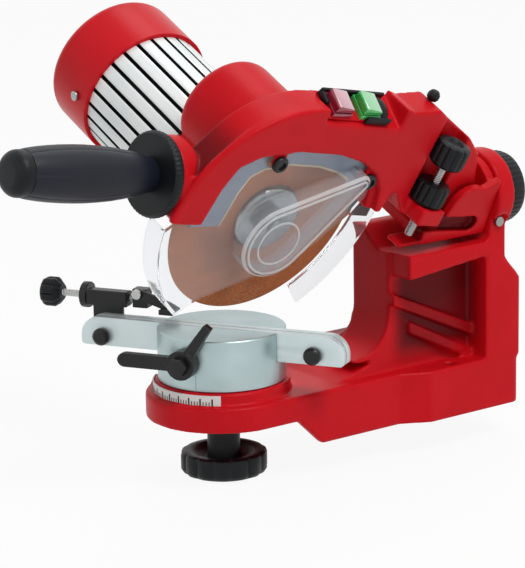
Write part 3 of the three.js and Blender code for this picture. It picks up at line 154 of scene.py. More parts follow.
def fill(tree, node, inputs):
    for name, value in inputs.items():
        socket = node.inputs[name]
        if isinstance(value, bpy.types.NodeSocket):
            tree.links.new(value, socket)
        else:
            socket.default_value = value
    return node


def addNode(tree, kind, inputs=None, **settings):
    node = tree.nodes.new(kind)
    for name, value in settings.items():
        setattr(node, name, value)
    return fill(tree, node, inputs or {})


def opaque(colour):
    return (*colour, 1.0)


def newLook(name):
    looks[name] = bpy.data.materials.new(name)
    looks[name].use_nodes = True
    tree = looks[name].node_tree
    return tree, tree.nodes["Principled BSDF"]


def texture(tree, kind, **inputs):
    place = addNode(tree, "ShaderNodeTexCoord").outputs["Object"]
    return addNode(tree, kind, {"Vector": place, **inputs}).outputs


def noise(tree, scale, detail):
    return texture(tree, "ShaderNodeTexNoise", Scale=scale, Detail=detail)["Fac"]


def ranged(tree, value, low, high, first=0.0, last=1.0):
    return addNode(tree, "ShaderNodeMapRange", {"Value": value, "From Min": low, "From Max": high,
                                                "To Min": first, "To Max": last}).outputs["Result"]


def blend(tree, share, first, second):
    return addNode(tree, "ShaderNodeMix", {"Factor": share, "A": first, "B": second},
                   data_type="RGBA").outputs["Result"]


def bump(tree, height, strength, distance):
    return addNode(tree, "ShaderNodeBump", {"Strength": strength, "Distance": distance,
                                            "Height": height}).outputs["Normal"]


def makeFinish(name, spec):
    tree, shader = newLook(name)
    fine = noise(tree, float(spec["grain"]), 2.0)
    patches = ranged(tree, noise(tree, surface["patches"], 2.0), *surface["patchRange"])
    colour = blend(tree, patches, opaque(spec["tint"]), opaque(spec["colour"]))
    if "worn" in spec:
        specks = noise(tree, surface["specks"], 5.0)
        few = ranged(tree, specks, *surface["speckRange"], 0.0, surface["speckShare"])
        colour = blend(tree, few, colour, opaque(spec["worn"]))
    # Painted shade: the depth attribute mixes the painted shade colour into the enamel
    if "paintedShadeColour" in spec:
        depth = addNode(tree, "ShaderNodeAttribute", attribute_name="depth").outputs["Fac"]
        colour = blend(tree, depth, colour, opaque(spec["paintedShadeColour"]))
    half = spec["spread"] / 2
    rough = ranged(tree, fine, *surface["fineRange"], spec["rough"] - half, spec["rough"] + half)
    fill(tree, shader, {
        "Base Color": colour, "Roughness": rough, "Normal": bump(tree, fine, spec["depth"], surface["bump"]),
        "Metallic": spec.get("metal", 0.0), "Specular IOR Level": spec["shine"]})
    if "coat" in spec:
        fill(tree, shader, {"Coat Weight": spec["coat"], "Coat Roughness": surface["coatRough"]})


def makeClearSheet(name, spec):
    tree, shader = newLook(name)
    haze = ranged(tree, noise(tree, 60.0, 5.0), 0.4, 0.7, spec["rough"], spec["rough"] + spec["haze"])
    fill(tree, shader, {"Base Color": opaque(spec["tint"]), "Roughness": haze,
                        "Transmission Weight": spec["clear"], "IOR": spec["index"]})


def makeGrindingStone():
    tree, shader = newLook("grindingStone")
    body, dark, light = (opaque(grindingStone[shade]) for shade in ("body", "dark", "light"))
    grit = texture(tree, "ShaderNodeTexVoronoi", Scale=grindingStone["grit"])
    shades = addNode(tree, "ShaderNodeValToRGB", {"Fac": grit["Color"]})
    steps = shades.color_ramp.elements
    steps[0].position, steps[1].position = 0.05, 0.95
    steps[0].color, steps[1].color = dark, light
    steps.new(0.45).color = body
    cloud = noise(tree, grindingStone["clouds"], 4.0)
    burnt = noise(tree, grindingStone["scorches"], 2.0)
    grainy = blend(tree, cloud, shades.outputs["Color"], body)
    scorched = blend(tree, ranged(tree, burnt, 0.48, 0.68, 0.0, grindingStone["scorched"]), grainy, dark)
    fill(tree, shader, {"Base Color": scorched, "Normal": bump(tree, grit["Distance"], 0.6, 0.0003),
                        "Roughness": grindingStone["rough"]})


for finishName, finishSpec in finishes.items():
    makeFinish(finishName, finishSpec)
for sheetName, sheetSpec in clearSheets.items():
    makeClearSheet(sheetName, sheetSpec)
makeGrindingStone()
print("finishes made:", len(looks))

# Shapes are drawn flat and pushed along an axis: along x in Y and Z, along y in Z and X, along z in X and Y
drawnIn = {"x": (1, 2, 0), "y": (2, 0, 1), "z": (0, 1, 2)}

# Cutters reach this far, outside every piece
beyond = 400


def meshObject(points, faces):
    mesh = bpy.data.meshes.new("shape")
    mesh.from_pydata(points, [], faces)
    shell = bmesh.new()
    shell.from_mesh(mesh)
    bmesh.ops.remove_doubles(shell, verts=shell.verts, dist=0.0005)
    bmesh.ops.dissolve_degenerate(shell, edges=shell.edges, dist=0.0005)
    bmesh.ops.recalc_face_normals(shell, faces=shell.faces)
    if shell.calc_volume(signed=True) < 0:
        bmesh.ops.reverse_faces(shell, faces=shell.faces)
    shell.to_mesh(mesh)
    shell.free()
    made = bpy.data.objects.new("shape", mesh)
    scene.collection.objects.link(made)
    return made


def spot(axis, across, up, along):
    point = [0.0, 0.0, 0.0]
    for i, value in zip(drawnIn[axis], (across, up, along)):
        point[i] = value
    return point


def prism(axis, outline, start, end):
    n = len(outline)
    points = [spot(axis, a, b, along) for along in (start, end) for a, b in outline]
    sides = [(i, (i + 1) % n, n + (i + 1) % n, n + i) for i in range(n)]
    return meshObject(points, [tuple(range(n))[::-1], tuple(range(n, 2 * n)), *sides])


def layered(axis, rings):
    n, last = len(rings[0][0]), len(rings) - 1
    points = [spot(axis, a, b, along) for outline, along in rings for a, b in outline]
    sides = [(k * n + i, k * n + (i + 1) % n, (k + 1) * n + (i + 1) % n, (k + 1) * n + i)
             for k in range(last) for i in range(n)]
    return meshObject(points, [*sides, tuple(range(n))[::-1], tuple(range(last * n, last * n + n))])


# Radii from `past` outwards dip by `depth` between the lobes
def lathe(axis, profile, steps, lobes=0, depth=0.0, sharp=1.0, past=0.0):
    points, faces, n = [], [], len(profile)
    for k in range(steps):
        angle = 2 * math.pi * k / steps
        dip = depth * (1 - abs(math.sin(lobes * angle / 2)) ** sharp) if lobes else 0.0
        for radius, along in profile:
            r = radius - dip if radius >= past else radius
            points.append(spot(axis, r * math.cos(angle), r * math.sin(angle), along))
        a, b = k * n, ((k + 1) % steps) * n
        for i in range(n):
            j = (i + 1) % n
            if max(profile[i][0], profile[j][0]) >= 1e-6:
                faces.append((a + i, a + j, b + j, b + i))
    return meshObject(points, faces)


def rod(axis, radius, start, end, steps):
    return lathe(axis, [(0, start), (radius, start), (radius, end), (0, end)], steps)


def thread(axis, radius, start, end, pitch, depth, steps=36):
    count = int((end - start) / pitch * 6)
    rings = []
    for i in range(count + 1):
        along = start + (end - start) * i / count
        outline = []
        for k in range(steps):
            turn = (along / pitch - k / steps) % 1.0
            angle = 2 * math.pi * k / steps
            r = radius - depth * abs(2 * turn - 1) if 2 < i < count - 2 else radius - depth
            outline.append((r * math.cos(angle), r * math.sin(angle)))
        rings.append((outline, along))
    return layered(axis, rings)


def block(x0, x1, y0, y1, z0, z1):
    return prism("z", [(x0, y0), (x1, y0), (x1, y1), (x0, y1)], z0, z1)


def arc(cx, cy, radius, fromDegrees, toDegrees, steps):
    angles = [math.radians(fromDegrees + (toDegrees - fromDegrees) * i / steps) for i in range(steps + 1)]
    return [(cx + radius * math.cos(a), cy + radius * math.sin(a)) for a in angles]


def quarterTurn(steps):
    return [math.pi / 2 * i / steps for i in range(steps + 1)]


def sized(shares, width, height):
    return [(a * width, b * height) for a, b in shares]


def mirrored(side):
    return [*side, *[(a, -b) for a, b in side[::-1]]]


def put(shape, matrix):
    shape.data.transform(matrix)
    return shape


def moved(shape, x, y, z):
    return put(shape, shiftBy(x, y, z))


def settle(shape):
    bpy.context.view_layer.update()
    seen = shape.evaluated_get(bpy.context.evaluated_depsgraph_get())
    mesh = bpy.data.meshes.new_from_object(seen)
    shape.modifiers.clear()
    shape.data = mesh
    return shape


def worked(base, kind, tools):
    for tool in tools:
        step = base.modifiers.new("work", "BOOLEAN")
        step.object, step.operation, step.solver = tool, kind, "MANIFOLD"
    settle(base)
    for tool in tools:
        bpy.data.objects.remove(tool)
    return base


def join(base, *tools):
    return worked(base, "UNION", tools)


def cut(base, *tools):
    return worked(base, "DIFFERENCE", tools)


def flatMerged(shape):
    shell = bmesh.new()
    shell.from_mesh(shape.data)
    bmesh.ops.remove_doubles(shell, verts=shell.verts, dist=0.001)
    bmesh.ops.dissolve_limit(shell, angle_limit=math.radians(0.4), verts=shell.verts, edges=shell.edges)
    shell.to_mesh(shape.data)
    shell.free()


def edged(shape, width=0.4, segments=2, angle=32):
    flatMerged(shape)
    step = shape.modifiers.new("edges", "BEVEL")
    step.width, step.segments, step.limit_method = width, segments, "ANGLE"
    step.angle_limit, step.use_clamp_overlap, step.miter_outer = math.radians(angle), True, "MITER_ARC"
    return settle(shape)


def moulded(shape, grid, passes, keep):
    cast = shape.modifiers.new("mould", "REMESH")
    cast.mode, cast.voxel_size, cast.adaptivity = "VOXEL", grid, 0.0
    soft = shape.modifiers.new("soft", "SMOOTH")
    soft.factor, soft.iterations = 0.5, passes
    thin = shape.modifiers.new("thin", "DECIMATE")
    thin.ratio = keep
    return settle(shape)


def nodeShape(node):
    source = nodes[node].data
    points = [tuple(v.co * 1000) for v in source.vertices]
    return meshObject(points, [tuple(p.vertices) for p in source.polygons])


def painted(shape, *coats):
    shape.data.materials.clear()
    for coat in coats:
        shape.data.materials.append(looks[coat])
    return shape


def repainted(shape, coats, chosen):
    painted(shape, *coats)
    for face in shape.data.polygons:
        face.material_index = int(chosen(face.center, face.normal))
    return shape


# Painted shade: how much each point is darkened, from 0 to 1, in recesses and on faces turned from the light,
# for the finish that darkens there
def withPaintedShade(shape, shadeAt):
    layer = shape.data.attributes.new("depth", "FLOAT", "POINT")
    for point, value in zip(shape.data.vertices, layer.data):
        value.value = shadeAt(point.co, point.normal)
    return shape


def ramp(value, low, high):
    share = min(1.0, max(0.0, (value - low) / (high - low)))
    return share * share * (3 - 2 * share)


def between(value, start, full, fade, end):
    return ramp(value, start, full) * ramp(-value, -end, -fade)


def finished(shape, name, look, place, replaced, body=None, sharp=35):
    shape.data.transform(place)
    shape.name, shape.data.name = name, name
    if len(shape.data.materials) < 2:
        painted(shape, look)
    shape.data.shade_smooth()
    shape.data.set_sharp_from_angle(angle=math.radians(sharp))
    if replaced:
        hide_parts(*replaced)
    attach(shape, body or bodyOf[replaced[0]])
    return shape


# A ring of copies of a shape round an axis, for fins and scale ticks
def makeRingTree():
    tree = bpy.data.node_groups.new("copiesAround", "GeometryNodeTree")
    tree.is_modifier = True
    sockets = {"Geometry": "NodeSocketGeometry", "Count": "NodeSocketInt", "Start": "NodeSocketFloat",
               "Step": "NodeSocketFloat", "Axis": "NodeSocketVector", "Look": "NodeSocketMaterial"}
    for name, kind in sockets.items():
        tree.interface.new_socket(name, in_out="INPUT", socket_type=kind)
    tree.interface.new_socket("Geometry", in_out="OUTPUT", socket_type="NodeSocketGeometry")
    given = tree.nodes.new("NodeGroupInput").outputs
    spots = addNode(tree, "GeometryNodePoints", {"Count": given["Count"]})
    place = addNode(tree, "GeometryNodeInputIndex").outputs["Index"]
    angle = addNode(tree, "ShaderNodeMath", {0: place, 1: given["Step"], 2: given["Start"]},
                    operation="MULTIPLY_ADD")
    turn = addNode(tree, "FunctionNodeAxisAngleToRotation",
                   {"Axis": given["Axis"], "Angle": angle.outputs[0]})
    copies = addNode(tree, "GeometryNodeInstanceOnPoints",
                     {"Points": spots.outputs[0], "Instance": given["Geometry"], "Rotation": turn.outputs[0]})
    real = addNode(tree, "GeometryNodeRealizeInstances", {"Geometry": copies.outputs[0]})
    coated = addNode(tree, "GeometryNodeSetMaterial",
                     {"Geometry": real.outputs[0], "Material": given["Look"]})
    addNode(tree, "NodeGroupOutput", {0: coated.outputs[0]})
    return tree


ringTree = makeRingTree()


def ringOf(shape, count, step, axis, look, start):
    added = shape.modifiers.new("ring", "NODES")
    added.node_group = ringTree
    values = {"Count": count, "Start": math.radians(start), "Step": math.radians(step), "Axis": axis,
              "Look": looks[look]}
    for socket in ringTree.interface.items_tree:
        if socket.name in values:
            added[socket.identifier] = values[socket.name]
    return settle(shape)


def together(first, *others):
    shell = bmesh.new()
    coats = []
    for shape in (first, *others):
        own = list(shape.data.materials)
        coats += [coat for coat in own if coat not in coats]
        known = len(shell.faces)
        shell.from_mesh(shape.data)
        shell.faces.ensure_lookup_table()
        for face in shell.faces[known:]:
            face.material_index = coats.index(own[face.material_index])
    first.data.materials.clear()
    for coat in coats:
        first.data.materials.append(coat)
    shell.to_mesh(first.data)
    shell.free()
    for shape in others:
        bpy.data.objects.remove(shape)
    return first


# Floor, backdrop and studio light
studio = {"floor": -0.0225, "half": 6, "grey": 0.9, "rough": 0.6, "white": 0.92, "room": 0.36,
          "aim": (0, -0.05, 0.12)}
lamps = [
    ("keyLamp", (1.15, 0.05, 1.8), 0.7, 18.5),
    ("frontLamp", (0.3, -1.9, 1.0), 1.0, 2.4),
    ("backLamp", (-0.5, 0.5, 1.9), 0.9, 5.0),
]


# Rays that reach the eye straight, by a reflection or through the clear guards
def seenDirectly(tree):
    paths = addNode(tree, "ShaderNodeLightPath").outputs
    seen = paths["Is Camera Ray"]
    for other in ("Is Glossy Ray", "Is Transmission Ray"):
        seen = addNode(tree, "ShaderNodeMath", {0: seen, 1: paths[other]}, operation="MAXIMUM").outputs[0]
    return seen


def makeFloor():
    tree, shader = newLook("paleFloor")
    fill(tree, shader, {"Base Color": opaque([studio["grey"]] * 3), "Roughness": studio["rough"]})
    # white to the camera wherever nothing darkens it, so the background stays pale and the shadow stays
    glow = addNode(tree, "ShaderNodeEmission", {"Color": (1, 1, 1, 1), "Strength": 1.0})
    share = addNode(tree, "ShaderNodeMath", {0: seenDirectly(tree), 1: studio["white"]}, operation="MULTIPLY")
    mix = addNode(tree, "ShaderNodeMixShader",
                  {0: share.outputs[0], 1: shader.outputs[0], 2: glow.outputs[0]})
    fill(tree, tree.nodes["Material Output"], {"Surface": mix.outputs[0]})
    half = studio["half"]
    mesh = bpy.data.meshes.new("floor")
    mesh.from_pydata([(x, y, studio["floor"]) for x, y in ((-half, -half), (half, -half), (half, half),
                                                           (-half, half))], [], [(0, 1, 2, 3)])
    mesh.materials.append(looks["paleFloor"])
    floor = bpy.data.objects.new("floor", mesh)
    scene.collection.objects.link(floor)


def makeLight():
    world = bpy.data.worlds.new("studio")
    scene.world = world
    world.use_nodes = True
    tree = world.node_tree
    fill(tree, tree.nodes["Background"], {
        "Color": (1, 1, 1, 1), "Strength": ranged(tree, seenDirectly(tree), 0.0, 1.0, studio["room"], 1.0)})
    for name, place, size, power in lamps:
        data = bpy.data.lights.new(name, "AREA")
        data.shape, data.size, data.energy = "DISK", size, power
        lamp = bpy.data.objects.new(name, data)
        lamp.location = place
        lamp.rotation_mode = "QUATERNION"
        lamp.rotation_quaternion = (Vector(studio["aim"]) - Vector(place)).to_track_quat("-Z", "Y")
        scene.collection.objects.link(lamp)


makeFloor()
makeLight()
print("studio lit")

# Cast stand: foot, arm, rings, column with its ribs, and the post behind the tilt bracket
stand = {"grid": 1.2, "passes": 10, "keep": 0.8, "ringRadius": 51.6, "drumRadius": 45.5, "drumTop": 44.2,
         "armLow": 18.7, "footTop": 36, "footHalf": 61.5, "deckTop": 48, "columnFront": 110,
         "columnBack": 183, "columnTop": 119, "postRadius": 29, "ribWidth": 8.0, "ribRise": 5.0,
         "ribs": [(0, 0.66, 0.26), (0.2, 0.4, 0.04)], "benchHoles": [(-36, 53), (-36, 195), (51.75, 156)],
         "benchHole": 4.5, "boltHole": 5.3, "frontShade": 0.45, "ribShade": 0.68}


# Painted shade on the stand: dark in the column's recess, less on its ribs, and on the column's front faces
# turned from the light
def standPaintedShade(place, facing):
    inside = ramp(-place.x, -60, -45) * between(place.y, 108, 124, 180, 190)
    inside *= between(place.z, 34, 56, 100, 107)
    front = ramp(-facing.y, 0.2, 0.8) * ramp(place.z, 46, 62) * between(place.y, 60, 80, 118, 130)
    return max(inside * (1.0 if place.x < 44.5 else stand["ribShade"]), front * stand["frontShade"])


def makeStand():
    low, top, deck, high = stand["armLow"], stand["footTop"], stand["deckTop"], stand["columnTop"]
    front, back, half = stand["columnFront"], stand["columnBack"], stand["footHalf"]
    ring, ribWidth = stand["ringRadius"], stand["ribWidth"]
    hinge = places["hinge"]
    lugAngle = math.radians(211)
    plan = [(-ring, 112), (ring, 112), (half, 131), *arc(56, 206.5, 5.5, 0, 90, 8),
            *arc(-56, 206.5, 5.5, 90, 180, 8), (-half, 131)]
    bend = [(-2, -2), (30, -2), *arc(30, 30, 30, 270, 180, 18), (-2, 30)]
    deckSide = prism("x", [(56, 34), (front, deck), (181, deck), (196, 34)], -52, 42)
    deckEnd = prism("y", [(34, -52), (deck, -34), (deck, 42), (34, 42)], 56, 196)
    solids = [
        prism("x", [(0, low), (25, low), (44.5, 0), (131, 0), (131, top), (0, top)], -ring, ring),
        prism("z", plan, 0, top),
        rod("z", ring, low, top, 160),
        rod("z", stand["drumRadius"], low, stand["drumTop"], 160),
        moved(rod("z", 4.5, low, 40, 40), 46.3 * math.cos(lugAngle), 46.3 * math.sin(lugAngle), 0),
        worked(deckSide, "INTERSECT", [deckEnd]),
        block(3, 42, front, back, 34, high),
        prism("y", [(117, 3), (134, 3), (134, 13), (high, 31), (117, 31)], front, 183.6),
        prism("x", [(112, 102), (back, 109), (back, high), (112, high)], 3, half),
        prism("x", [(181, 34), (212, 34), (212, 90), (198, 106), (198, 135.6), (181, high)], 3, half),
        moved(rod("y", stand["postRadius"], 184, 198, 128), *hinge),
        block(15, half, 184, 198, 117, hinge[2]),
        prism("x", [(front - a, deck + b) for a, b in bend], 3, 42),
        prism("y", [(deck + b, 3 - a) for a, b in bend], front, 181),
    ]
    for start, topShare, endShare in stand["ribs"]:
        y, z, endZ = front + 71 * start, top + 83 * topShare, top + 83 * endShare
        rib = [(y, z - ribWidth), (back, endZ - ribWidth), (back, endZ), (y, z)]
        solids.append(prism("x", rib, 40, 42 + stand["ribRise"]))
    hollows = [block(-44.6, 44.6, 20, 105, -2, low), block(-44.6, -9, 119, 198, -2, 28),
               block(9, 44.6, 119, 198, -2, 28), block(9, 35, 117, 174, -2, 103),
               moved(rod("x", 6, half, beyond, 40), 0, 190.5, 132), rod("z", stand["boltHole"], -2, 80, 48),
               moved(rod("y", stand["boltHole"], 182, beyond, 48), *hinge)]
    hollows += [moved(rod("z", stand["benchHole"], -2, 50, 40), x, y, 0) for x, y in stand["benchHoles"]]
    casting = moulded(cut(join(*solids), *hollows), stand["grid"], stand["passes"], stand["keep"])
    finished(withPaintedShade(casting, standPaintedShade), "cast_stand", "castEnamel", machineFrame, ["stand"], sharp=60)
    print("stand cast:", len(casting.data.polygons), "faces")


# Head casting: hood over the disc, the bell that carries the motor and the arm back to the hinge
# Its outlines are shares of the hood's radius and of the knee's distance
head = {"grid": 1.1, "passes": 7, "keep": 0.8, "outer": 88.0, "inner": 80.0, "near": 14.0, "far": 12.0,
        "wall": 4.0, "valley": 4.0, "rimWidth": 5.0, "shade": 0.95, "sill": -0.114, "knee": (160.225, 25.367),
        "hub": 52, "bell": 46, "dome": 35, "boss": 25, "neck": 15, "kneeRadius": 12.5, "armLow": 14,
        "screws": [(-0.239, 0.523), (0.727, 0.42)], "screwHole": 2.3,
        "top": [(0.125, 1), (0.325, 1.034), (0.375, 1.08), (0.474, 1.034), (0.612, 1.068), (0.674, 1.011),
                (0.861, 0.852), (0.955, 0.727)],
        "low": [(0.911, 1.43), (0.824, 1), (0.674, 1), (0.605, 2), (0.568, 2.14)],
        "window": [(0.955, 0.136), (0.886, 0.352), (0.773, 0.489), (0.557, 0.583), (0.307, 0.632),
                   (-0.102, 0.636), (-0.443, 0.568), (-0.602, 0.474), (-0.67, 0.284), (-0.705, 0),
                   (-0.75, -0.114)]}
guardScrews = sized(head["screws"], head["outer"], head["outer"])


def guardHoles(radius, start, end, steps):
    return [moved(rod("x", radius, start, end, steps), 0, y, z) for y, z in guardScrews]


# The hood's outer face sinks behind its near rim, from the top down to the handle's boss
def valleyShare(y, z):
    return ramp(math.degrees(math.atan2(z, y)) % 360, 120, 150)


# Painted shade in the sunk valley behind the hood's near rim
def hoodPaintedShade(place, facing):
    radius = math.hypot(place.y, place.z)
    sunk = ramp(-radius, 0.4 - head["outer"], head["valley"] - 0.8 - head["outer"])
    return head["shade"] * sunk * valleyShare(place.y, place.z) * between(place.x, -14, -12, 7.5, 9.3)


def roundedDrum(radius, foot, soft):
    edge = [(radius - soft + soft * math.cos(a), -51 - 9 * math.sin(a)) for a in (0.3, 0.6, 0.9, 1.2, 1.57)]
    return lathe("x", [(0, foot), (radius, -8), (radius, -51), *edge, (0, -60)], 128)


def makeHead():
    outer, inner, near, far, hub = (head[name] for name in ("outer", "inner", "near", "far", "hub"))
    insideNear, insideFar = near - head["wall"], -far + head["wall"]
    kneeY, kneeZ = head["knee"]
    boss, armLow, sill = head["boss"], head["armLow"], outer * head["sill"]
    shell = prism("x", [*arc(0, 0, outer, 184, 90, 48), *sized(head["top"], kneeY, outer),
                        *arc(kneeY, kneeZ, head["kneeRadius"], 60, -100, 24),
                        *sized(head["low"], kneeY, armLow), (outer, armLow)], -far, near)
    mouth = [(-inner, -beyond), (inner, -beyond), (inner, 0), (-inner, 0)]
    window = [(-beyond, -beyond), (beyond, -beyond), (beyond, sill), *sized(head["window"], outer, outer),
              (-beyond, sill)]
    seat = [(89, -far), (beyond, -far), (beyond, near + 2), (77, near + 2)]
    below = [(-beyond, -beyond), (beyond, -beyond), (beyond, -2), (-beyond, -2)]
    bed = [(math.cos(math.radians(a)), math.sin(math.radians(a))) for a in range(118, 190, 3)]
    radii = [outer - head["valley"] * valleyShare(a, b) for a, b in bed]
    valley = [*[(a * r, b * r) for (a, b), r in zip(bed, radii)], *arc(0, 0, outer + 4, 187, 118, 30)]
    pocket = (3.5, beyond, 107, 135, 26, beyond)
    walls = cut(shell, rod("x", inner, insideFar, insideNear, 160), prism("x", mouth, insideFar, insideNear),
                prism("x", window, insideNear - 2, near + 2), block(*pocket), prism("y", seat, 1, 68),
                cut(prism("x", below, -far - 2, near + 2), rod("x", hub, -beyond, insideFar, 128)),
                prism("x", valley, -far - 2, near - head["rimWidth"]))
    collar = lathe("y", [(0, collarY), (boss - 1.4, collarY), (boss, collarY + 1.4), (boss, -75),
                         (0, -75)], 128)
    holder = cut(join(put(collar, handlePlace), put(rod("y", head["neck"], -88, 0, 96), handlePlace)),
                 rod("x", inner, insideFar, insideNear, 160))
    tabs = [*guardHoles(5.6, insideNear, near - 2, 48),
            *[block(insideNear, near - 2, y - 5.6, y + 5.6, z, z + 16) for y, z in guardScrews]]
    casting = join(walls, rod("x", hub, -far, insideFar, 128), roundedDrum(head["bell"], -12, 3.6),
                   moved(roundedDrum(head["dome"], -8, 9), 0, -17, 46), holder,
                   block(3.5, 29, 110.5, 131.5, 14, 26), *tabs)
    bores = [block(*pocket), rod("x", 10, -beyond, beyond, 64), rod("x", 14.3, -beyond, -50.7, 64),
             moved(rod("x", 5.3, -beyond, beyond, 48), 0, kneeY, kneeZ),
             moved(rod("z", 3.3, -beyond, beyond, 40), *places["depthStop"]),
             put(rod("y", 4.3, -beyond, -71, 40), handlePlace), *guardHoles(head["screwHole"], 0, beyond, 32)]
    casting = moulded(cut(casting, *bores), head["grid"], head["passes"], head["keep"])
    finished(withPaintedShade(casting, hoodPaintedShade), "head_shell", "castEnamel", headFrame, ["head_casting"], sharp=60)
    print("head cast:", len(casting.data.polygons), "faces")


# Tilt bracket with the long recess in its cheek
bracket = {"grid": 0.8, "passes": 6, "keep": 0.7, "recessFrom": 17.5,
           "recess": [(118, 3.5), (140, 1.2), (158, -1.8), *arc(167.5, -9, 6.2, 75, -85, 10), (150, -12.2),
                      (118, -7.5)]}


def makeTiltBracket():
    slot = put(put(prism("x", bracket["recess"], bracket["recessFrom"], 40), tiltFrame), toMetres.inverted())
    inward = (toMetres.inverted() @ tiltFrame).inverted()

    # Painted shade inside the recess in the bracket's cheek
    def bracketPaintedShade(place, facing):
        x, y, z = inward @ place
        return between(x, 14, 15, 20.5, 23) * between(y, 122, 128, 174, 176) * ramp(-z, -5, 0)

    casting = cut(nodeShape("tilt_bracket"), slot)
    casting = withPaintedShade(moulded(casting, bracket["grid"], bracket["passes"], bracket["keep"]), bracketPaintedShade)
    finished(casting, "hinge_bracket", "castEnamel", toMetres, ["tilt_bracket"], sharp=60)
    print("bracket cast:", len(casting.data.polygons), "faces")


makeStand()
makeHead()
makeTiltBracket()

# Motor: finned housing with two wide lands, and the red end cap
motor = {"finCount": 26, "finPitch": 13.8, "finWidth": 8.1, "core": 39.0, "fins": 45.0, "bore": 36,
         "start": -146.0, "end": -60.3, "lands": (55.2, 69.0), "landHalf": 2.2, "capBack": -189.0,
         "capFront": -146.3, "capLip": -143.0, "capRadius": 48}


def makeMotor():
    half, core, top, bore = motor["finWidth"] / 2, motor["core"], motor["fins"], motor["bore"]
    start, end, wide = motor["start"], motor["end"], motor["landHalf"]
    section = mirrored([(core - 1, -half), (top - 0.55, -half), (top - 0.1, -half + 0.6), (top, -half / 2)])
    fins = ringOf(prism("x", section, start, end), motor["finCount"], motor["finPitch"], (1, 0, 0),
                  "finAluminium", motor["finPitch"] / 2)
    # The fin sides and the core between the fins are painted near black: painted shade in the slots
    repainted(fins, ("finAluminium", "slotShade"),
              lambda place, facing: math.hypot(place.y, place.z) < top - 0.7 and abs(facing.x) < 0.5)
    tube = painted(lathe("x", [(bore, start), (core, start), (core, end), (bore, end)], 160), "slotShade")
    land = mirrored([(core - 1, -wide), (top - 0.5, -wide)])
    lands = [painted(put(prism("x", land, start, end), turnBy(angle, "X")), "finAluminium")
             for angle in motor["lands"]]
    housing = together(fins, tube, *lands)
    finished(housing, "motor_fins", "finAluminium", headFrame, ["motor_housing"])
    back, front, lip, radius = motor["capBack"], motor["capFront"], motor["capLip"], motor["capRadius"]
    edge = [(radius - 8 + 8 * math.sin(a), back + 8 - 8 * math.cos(a)) for a in quarterTurn(12)[1:]]
    cap = lathe("x", [(0, back), (36, back), *edge, (radius, lip - 0.5), (47.6, lip), (45.3, lip),
                      (45.3, front), (42, front), (42, front - 2), (45, front - 4), (45, back + 8),
                      (40, back + 3), (0, back + 3)], 160)
    finished(cap, "motor_end_cap", "redPlastic", headFrame, ["motor_cap"])
    print("motor made")


makeMotor()

# Round knobs with their flutes
knobs = {
    "lock_grip": {
        "node": "lock_knob", "axis": "z", "frame": machineFrame, "place": (0, 0, 0),
        "flutes": {"steps": 192, "lobes": 14, "depth": 1.7, "sharp": 0.5, "past": 27.0},
        "profile": [(0, -22.1), (24.5, -22.1), (27.6, -21.0), (29.3, -18.4), (29.3, -9.4), (28.6, -7.6),
                    (26.6, -6.7), (22.3, -6.7), (20, -8.2), (14, -11.7), (11.6, -11.4), (11, -9.5),
                    (11, 16.1), (5.3, 16.1), (5.3, -14.7), (0, -14.7)]},
    "tilt_grip": {
        "node": "tilt_knob", "axis": "y", "frame": tiltFrame, "place": (0, 0, 0),
        "flutes": {"steps": 192, "lobes": 40, "depth": 0.7, "sharp": 0.8, "past": 24.5},
        "profile": [(5.3, 198.3), (23, 198.3), (25, 200.3), (25, 208.8), (23.8, 211.6), (21, 212.8),
                    (8, 212.8), (7, 212.2), (0, 212.2), (0, 205.6), (5.3, 205.6)]},
    "stop_grip": {
        "node": "stop_knob", "axis": "x", "frame": viseFrame, "place": places["viseStop"],
        "flutes": {"steps": 120, "lobes": 8, "depth": 1.6, "sharp": 0.6, "past": 9.0},
        "profile": [(2.8, -131.3), (2.8, -124), (5.6, -124), (9.2, -127.2), (10.2, -128.6), (10.2, -135.2),
                    (9.4, -137.2), (8.0, -138), (0, -138), (0, -131.3)]},
    "depth_grip": {
        "node": "depth_knob", "axis": "z", "frame": headFrame, "place": places["depthStop"],
        "flutes": {"steps": 144, "lobes": 12, "depth": 1.1, "sharp": 0.6, "past": 11.2},
        "profile": [(3.3, 56), (10.3, 56), (12.3, 58), (12.3, 70), (11.4, 72.2), (9.3, 73), (6.2, 73),
                    (4.8, 71.4), (0, 71), (0, 64.8), (3.3, 64.8)]},
    "depth_lock_grip": {
        "node": "depth_lock_nut", "axis": "z", "frame": headFrame, "place": places["depthStop"],
        "flutes": {"steps": 144, "lobes": 12, "depth": 1.1, "sharp": 0.6, "past": 11.0},
        "profile": [(3.3, 26.3), (10, 26.3), (12, 28.3), (12, 39.3), (11.2, 41.5), (9, 42.3), (3.3, 42.3)]},
}


def makeKnobs():
    for name, knob in knobs.items():
        shape = moved(lathe(knob["axis"], knob["profile"], **knob["flutes"]), *knob["place"])
        finished(shape, name, "blackPlastic", knob["frame"], [knob["node"]], sharp=38)
    print("knobs made:", len(knobs))


makeKnobs()

# Side handle: ribbed flange, fluted grip and end cap
handle = {"gripStart": -95.8, "gripEnd": -194, "capEnd": -204.8, "bore": 4.3,
          "ribs": {"lobes": 54, "depth": 0.5, "sharp": 0.7, "past": 27.0},
          "flutes": {"lobes": 6, "depth": 0.55, "sharp": 0.35, "past": 14.0},
          "grip": [(11.6, -99), (13.2, -105), (14.4, -111), (15.6, -119), (16.7, -127.5), (17.5, -138),
                   (17.95, -148), (18, -156), (17.8, -165.5), (17.3, -175), (16.6, -183), (15.7, -190)]}


